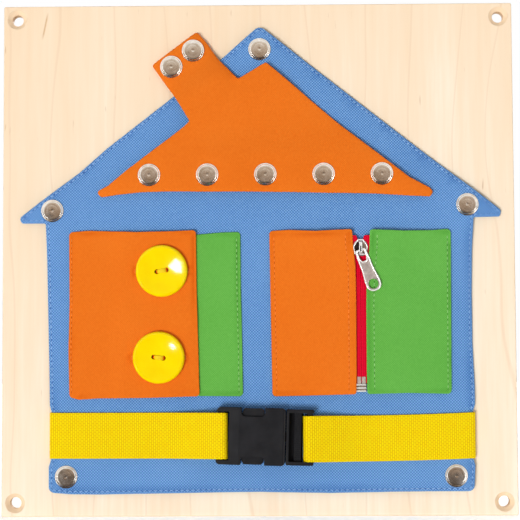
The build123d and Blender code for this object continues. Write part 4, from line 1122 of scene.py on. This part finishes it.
# The rims get the near-white zinc: painted highlight.
for piece, name, plating in ((pull, "zip_pull_stamped", stamped), (rims, "zip_pull_rims", highlight_zinc)):
    for vertex in piece.data.vertices:
        vertex.co.y += min(vertex.co.z, 0) * PULL_LEAN
    piece.data.transform(hung)
    piece.name = name
    dress(piece, plating, "zip_pull")
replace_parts(pull, "zip_pull_tab")
print("pull", len(pull.data.polygons), "faces")

# %% [markdown]
# The box at the zip's lower end gets a face with three ridges, which give a thumb some grip. Each is a plain
# block with soft edges, because at this size nothing more would show. The face is painted shade in darker
# zinc, and the ridges are painted highlight in near-white zinc.

# %% Zip box
BOX_TALL, BOX_FACE, RIDGE_TALL, BOX_MARGIN, BOX_SUNK = 5.2, 0.3, 0.9, 0.4, 0.05
box_low, box_high = [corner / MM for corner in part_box("zip_box")]
box_wide, box_middle = box_high.x - box_low.x - BOX_MARGIN, (box_low.x + box_high.x) / 2
bars = [(box_low.z + BOX_TALL / 2, BOX_TALL, BOX_FACE)]
bars += [(box_low.z + share * BOX_TALL, RIDGE_TALL, 3 * BOX_FACE) for share in (0.11, 0.5, 0.89)]
plates = [block((box_wide, deep, tall), (box_middle, box_low.y - BOX_SUNK - deep / 2, level), 0.12)
          for level, tall, deep in bars]
for name, pieces, plating in (("zip_box_face", plates[:1], shade_zinc),
                              ("zip_box_ridges", plates[1:], highlight_zinc)):
    dress(joined(name, pieces), plating, "right_green_shutter")
    bpy.ops.object.shade_smooth_by_angle(angle=radians(35))
print("zip box:", len(plates), "blocks")

# %% [markdown]
# The slider gets the same kind of rim as the pull, and its bail a thinner one, both painted highlight in
# near-white zinc. Thin dark sheets of painted shade lie over the bail's slot and the hollow on each side of
# the bail. The right hollow is painted paler, as a painted reflection.

# %% Slider trim
SHIELD = ((-1.6, -0.2, 1.2), (1.6, -0.2, 1.2), (4.5, -4.6, 2.4), (3.6, -9.8, 1.2), (-3.6, -9.8, 1.2),
          (-4.5, -4.6, 2.4))
HOLLOW = ((1.0, -1.7, 0.5), (2.2, -2.0, 0.9), (3.9, -4.7, 1.2), (3.4, -8.6, 0.9), (1.2, -8.8, 0.5))
BAIL_HALF, BAIL_WIRE, SLOT_HALF, SLOT_START, SLOT_END, SUNK = 0.7, 0.25, 0.35, 0.8, 4.6, 0.05
slider_low, slider_high = [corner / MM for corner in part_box("zip_slider_body")]
bail_low, bail_high = [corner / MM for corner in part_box("zip_slider_bail")]


def upright_band(half, low, high, radius):
    """A rounded rectangle round the zip's middle line."""
    corners = ((-half, low), (half, low), (half, high), (-half, high))
    return rounded([(zip_x + x, z, radius) for x, z in corners], 1.0)


shield = rounded([(zip_x + x, slider_high.z + z, r) for x, z, r in SHIELD], 1.0)
rim = drawn("shield rim", [shield], 0, WIRE_R, False)
rim.data.transform(Matrix.Translation((0, slider_low.y * MM, 0)))
band = upright_band(BAIL_HALF, bail_low.z + 0.5, bail_high.z - 0.4, 0.65)
edging = drawn("bail rim", [band], 0, BAIL_WIRE, False)
edging.data.transform(Matrix.Translation((0, bail_low.y * MM, 0)))
rim = dress(joined("slider_rim", [rim, edging]), highlight_zinc, "zip_slider")
# Painted shade: thin dark sheets laid over the hollows and the bail's slot.
shadow = finish("dark plating", Metallic=1.0, Roughness=0.3)
where, x, _, _ = places(shadow)
plain = ramp(shadow, noise(shadow, where, 500.0), ((0.3, (30, 28, 28)), (0.7, (84, 80, 80))))
# Painted reflection: the right hollow is mixed to a paler colour.
painted_reflection_share = faded(shadow, x, (zip_x + 0.5) * MM, (zip_x + 1.0) * MM, 0.75)
wire(shadow, Base_Color=mixed(shadow, painted_reflection_share, plain, paint(196, 184, 170)))
hollows = []
for sign in (-1, 1):
    hollow = rounded([(zip_x + sign * x, slider_high.z + z, r) for x, z, r in HOLLOW], 1.0)
    hollows.append(drawn("hollow", [hollow], 0.3, 0.1))
hollow = joined("slider_hollow_shades", hollows)
hollow.data.transform(Matrix.Translation((0, (slider_low.y + SUNK) * MM, 0)))
slot = upright_band(SLOT_HALF, bail_low.z + SLOT_START, bail_low.z + SLOT_END, 0.25)
slot = drawn("slot", [slot], 0.2, 0.05)
slot.data.transform(Matrix.Translation((0, bail_low.y * MM, 0)))
dress(joined("slider_hollow_shades", [hollow, slot]), shadow, "zip_slider")
print("slider rim", len(rim.data.polygons), "faces")

# %% [markdown]
# ## Moulded plastic
# The buttons are glossy yellow polyester, cast in a mould, with a faint cloudiness in the colour. The
# buckle is black acetal with the fine matte grain of an etched mould.

# %% Moulded plastic
yellow = finish("yellow button", Roughness=0.08, Specular_IOR_Level=0.16)
cloud = noise(yellow, places(yellow)[0], 90.0, 3.0)
wire(yellow, Base_Color=ramp(yellow, cloud, ((0.3, (253, 216, 0)), (0.7, (255, 226, 4)))))
black = finish("black buckle", Roughness=0.5, Specular_IOR_Level=0.12)
where = places(black)[0]
cloud = noise(black, where, 130.0, 3.0)
wire(black, Base_Color=ramp(black, cloud, ((0.3, (28, 28, 31)), (0.7, (37, 37, 40)))))
bumped(black, noise(black, where, 2600.0, 2.0), 0.05 * MM, 0.6)
coat(yellow, "upper_button", "lower_button")
coat(black, "buckle_shell", "buckle_plug", "buckle_upper_arm", "buckle_lower_arm")
print("plastic nodes: 6")

# %% [markdown]
# The plug's slot shows black behind it and not the cloth, so a thin black sheet of painted shade closes it
# at the back. It is one flat block, turned with the buckle.

# %% Plug slot shade
SEAM_X, SEAM_Z, SEAM_TILT = 17.3, -117.6, 1.7
SLOT_SHADE_LEFT, SLOT_SHADE_RIGHT, SLOT_SHADE_TALL, SLOT_SHADE_THICK = 2.0, 11.2, 31.8, 0.4
plug_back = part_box("buckle_plug")[1].y / MM
plug_slot_shade = block((SLOT_SHADE_RIGHT - SLOT_SHADE_LEFT, SLOT_SHADE_THICK, SLOT_SHADE_TALL),
                   ((SLOT_SHADE_LEFT + SLOT_SHADE_RIGHT) / 2, plug_back - SLOT_SHADE_THICK / 2, 0), 0.1)
plug_slot_shade.data.transform(Matrix.Translation((SEAM_X * MM, 0, SEAM_Z * MM))
                          @ Matrix.Rotation(radians(SEAM_TILT), 4, "Y"))
plug_slot_shade.name = "buckle_plug_slot_shade"
dress(plug_slot_shade, black, "buckle_plug")
print("plug slot shade", len(plug_slot_shade.data.polygons), "faces")

# %% [markdown]
# ## Light and surroundings
# The photograph is a cut-out on white. The world is white for the camera and for reflections, and dimmer as
# a light. A pale floor lies under the board and doesn't block the low lamp. In reflections it is dark, as
# the room's floor was, and a card behind the camera, dark below and light above, gives the flat metal its
# shading.

# %% World, floor and card
WORLD_LIGHT, FLOOR_GLOW, CARD_AT = 0.42, 0.45, -2.3
world = bpy.data.worlds.new("white studio")
bpy.context.scene.world = world
world.use_nodes = True
paths = world.node_tree.nodes.new("ShaderNodeLightPath")
seen = sums(world, "MAXIMUM", paths.outputs["Is Camera Ray"], paths.outputs["Is Glossy Ray"])
seen = sums(world, "MAXIMUM", seen, paths.outputs["Is Transmission Ray"])
power = node(world, "MapRange", {"Value": seen, "To Min": WORLD_LIGHT, "To Max": 1.0})
background = world.node_tree.nodes["Background"]
background.inputs["Color"].default_value = (1, 1, 1, 1)
world.node_tree.links.new(power, background.inputs["Strength"])

pale = finish("pale floor", Roughness=0.8, Emission_Color=(1, 1, 1, 1))
ray = pale.node_tree.nodes.new("ShaderNodeLightPath")
shade = ramp(pale, noise(pale, places(pale)[0], 3.0), ((0.3, (247, 247, 247)), (0.7, (252, 252, 252))))
wire(pale, Base_Color=mixed(pale, ray.outputs["Is Glossy Ray"], shade, paint(70, 52, 38)))
wire(pale, Emission_Strength=sums(pale, "MULTIPLY", ray.outputs["Is Camera Ray"], FLOOR_GLOW))
bpy.ops.mesh.primitive_plane_add(size=8.0, location=(0, 0, cad_box[0][2]))
floor = bpy.context.object
floor.name = "floor"
floor.data.materials.append(pale)
floor.visible_shadow = False


def only_mirrored(piece):
    """Lets a piece show in reflections alone."""
    piece.visible_camera = piece.visible_diffuse = False
    piece.visible_shadow = piece.visible_transmission = False


dull = finish("dull card", Base_Color=(0, 0, 0, 1), Emission_Strength=1.0)
where, _, _, z = places(dull)
rise = added(dull, noise(dull, where, 1.5), z, 0.6)
wire(dull, Emission_Color=ramp(dull, rise, ((0.15, (72, 55, 43)), (0.5, (152, 127, 104)),
                                            (0.75, (156, 131, 109)), (1.0, (210, 194, 176)))))
bpy.ops.mesh.primitive_plane_add(size=2.2, location=(0, CARD_AT, 0))
card = bpy.context.object
card.name = "card"
edit(card)
bpy.ops.transform.rotate(value=pi / 2, orient_axis="X", center_override=(0, CARD_AT, 0))
done()
card.data.materials.append(dull)
only_mirrored(card)
print("floor and card in place")

# %% [markdown]
# A large soft lamp stands low on the left in front, so shadows lie above the cloth edges. It doesn't show in
# reflections. Two more, far out on the left and right, show only in reflections and brighten the sides of
# the caps. The last one lights the back of the board.

# %% Lamps
LAMPS = (("key", (-2.7, -8.5, -2.6), 2.88, 580.0), ("left gleam", (-6.2, -6.6, -2.6), 2.4, 500.0),
         ("right gleam", (6.2, -6.6, -2.6), 2.4, 500.0), ("back", (2.0, 6.0, 3.0), 3.0, 160.0))
lamps = []
for name, place, size, watts in LAMPS:
    bpy.ops.object.light_add(type="AREA", location=place)
    lamp = bpy.context.object
    lamp.name = name
    lamp.data.size = size
    lamp.data.energy = watts
    lamp.rotation_euler = (-Vector(place)).to_track_quat("-Z", "Y").to_euler()
    lamps.append(lamp)
lamps[0].visible_glossy = False
lamps[1].visible_diffuse = lamps[2].visible_diffuse = False
print("lamps", [lamp.name for lamp in lamps])

# %% [markdown]
# Each button mirrors a window. A glowing pane stands in for it and lights that button alone. Its corners are
# worked out backwards: from a spot on the button, along the ray that the camera sees mirrored there.

# %% Window panes
DISH_ROUND, PANE_AT = 90.0 * MM, -1.45
PANES = (("upper_button", 85.0, ((4.7, 2.7), (9.5, 8.2), (12.8, 5.3), (13.3, -1.2), (9.5, -1.3))),
         ("lower_button", 170.0, ((7.2, 8.8), (8.7, 9.5), (11.2, 6.3), (10.4, 5.0), (8.4, 6.5))))
panes = []
for button, glow, corners in PANES:
    bpy.ops.mesh.primitive_circle_add(vertices=len(corners), fill_type="NGON", location=(0, 0, 0))
    pane = bpy.context.object
    pane.name = "pane_for_" + button
    low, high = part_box(button)
    for vertex, (x, z) in zip(pane.data.vertices, corners):
        spot = Vector(((low.x + high.x) / 2 + x * MM, low.y, (low.z + high.z) / 2 + z * MM))
        facing = Vector((-x * MM, -DISH_ROUND, -z * MM)).normalized()
        seen_from = (camera.location - spot).normalized()
        towards = 2 * facing.dot(seen_from) * facing - seen_from
        vertex.co = spot + towards * (PANE_AT - spot.y) / towards.y
    pane.data.materials.append(finish(pane.name, Base_Color=(0, 0, 0, 1), Emission_Color=(1, 1, 1, 1),
                                      Emission_Strength=glow))
    only_mirrored(pane)
    lit = bpy.data.collections.new("lit by " + pane.name)
    lit.objects.link(nodes[button])
    pane.light_linking.receiver_collection = lit
    panes.append(pane)
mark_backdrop(floor, card, *lamps, *panes)
bpy.context.scene.view_settings.view_transform = "Standard"
print("panes", [pane.name for pane in panes])

# %% [markdown]
# ## Sizes
# The finished object must stay close to the CAD box, so both boxes are written down and compared.

# %% Sizes
bpy.context.view_layer.update()
new_box = [list(corner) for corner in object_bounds()]
for axis, label in enumerate("xyz"):
    low, high = [(new_box[end][axis] - cad_box[end][axis]) / MM for end in (0, 1)]
    print(label, "low", round(low, 2), "high", round(high, 2), "mm")
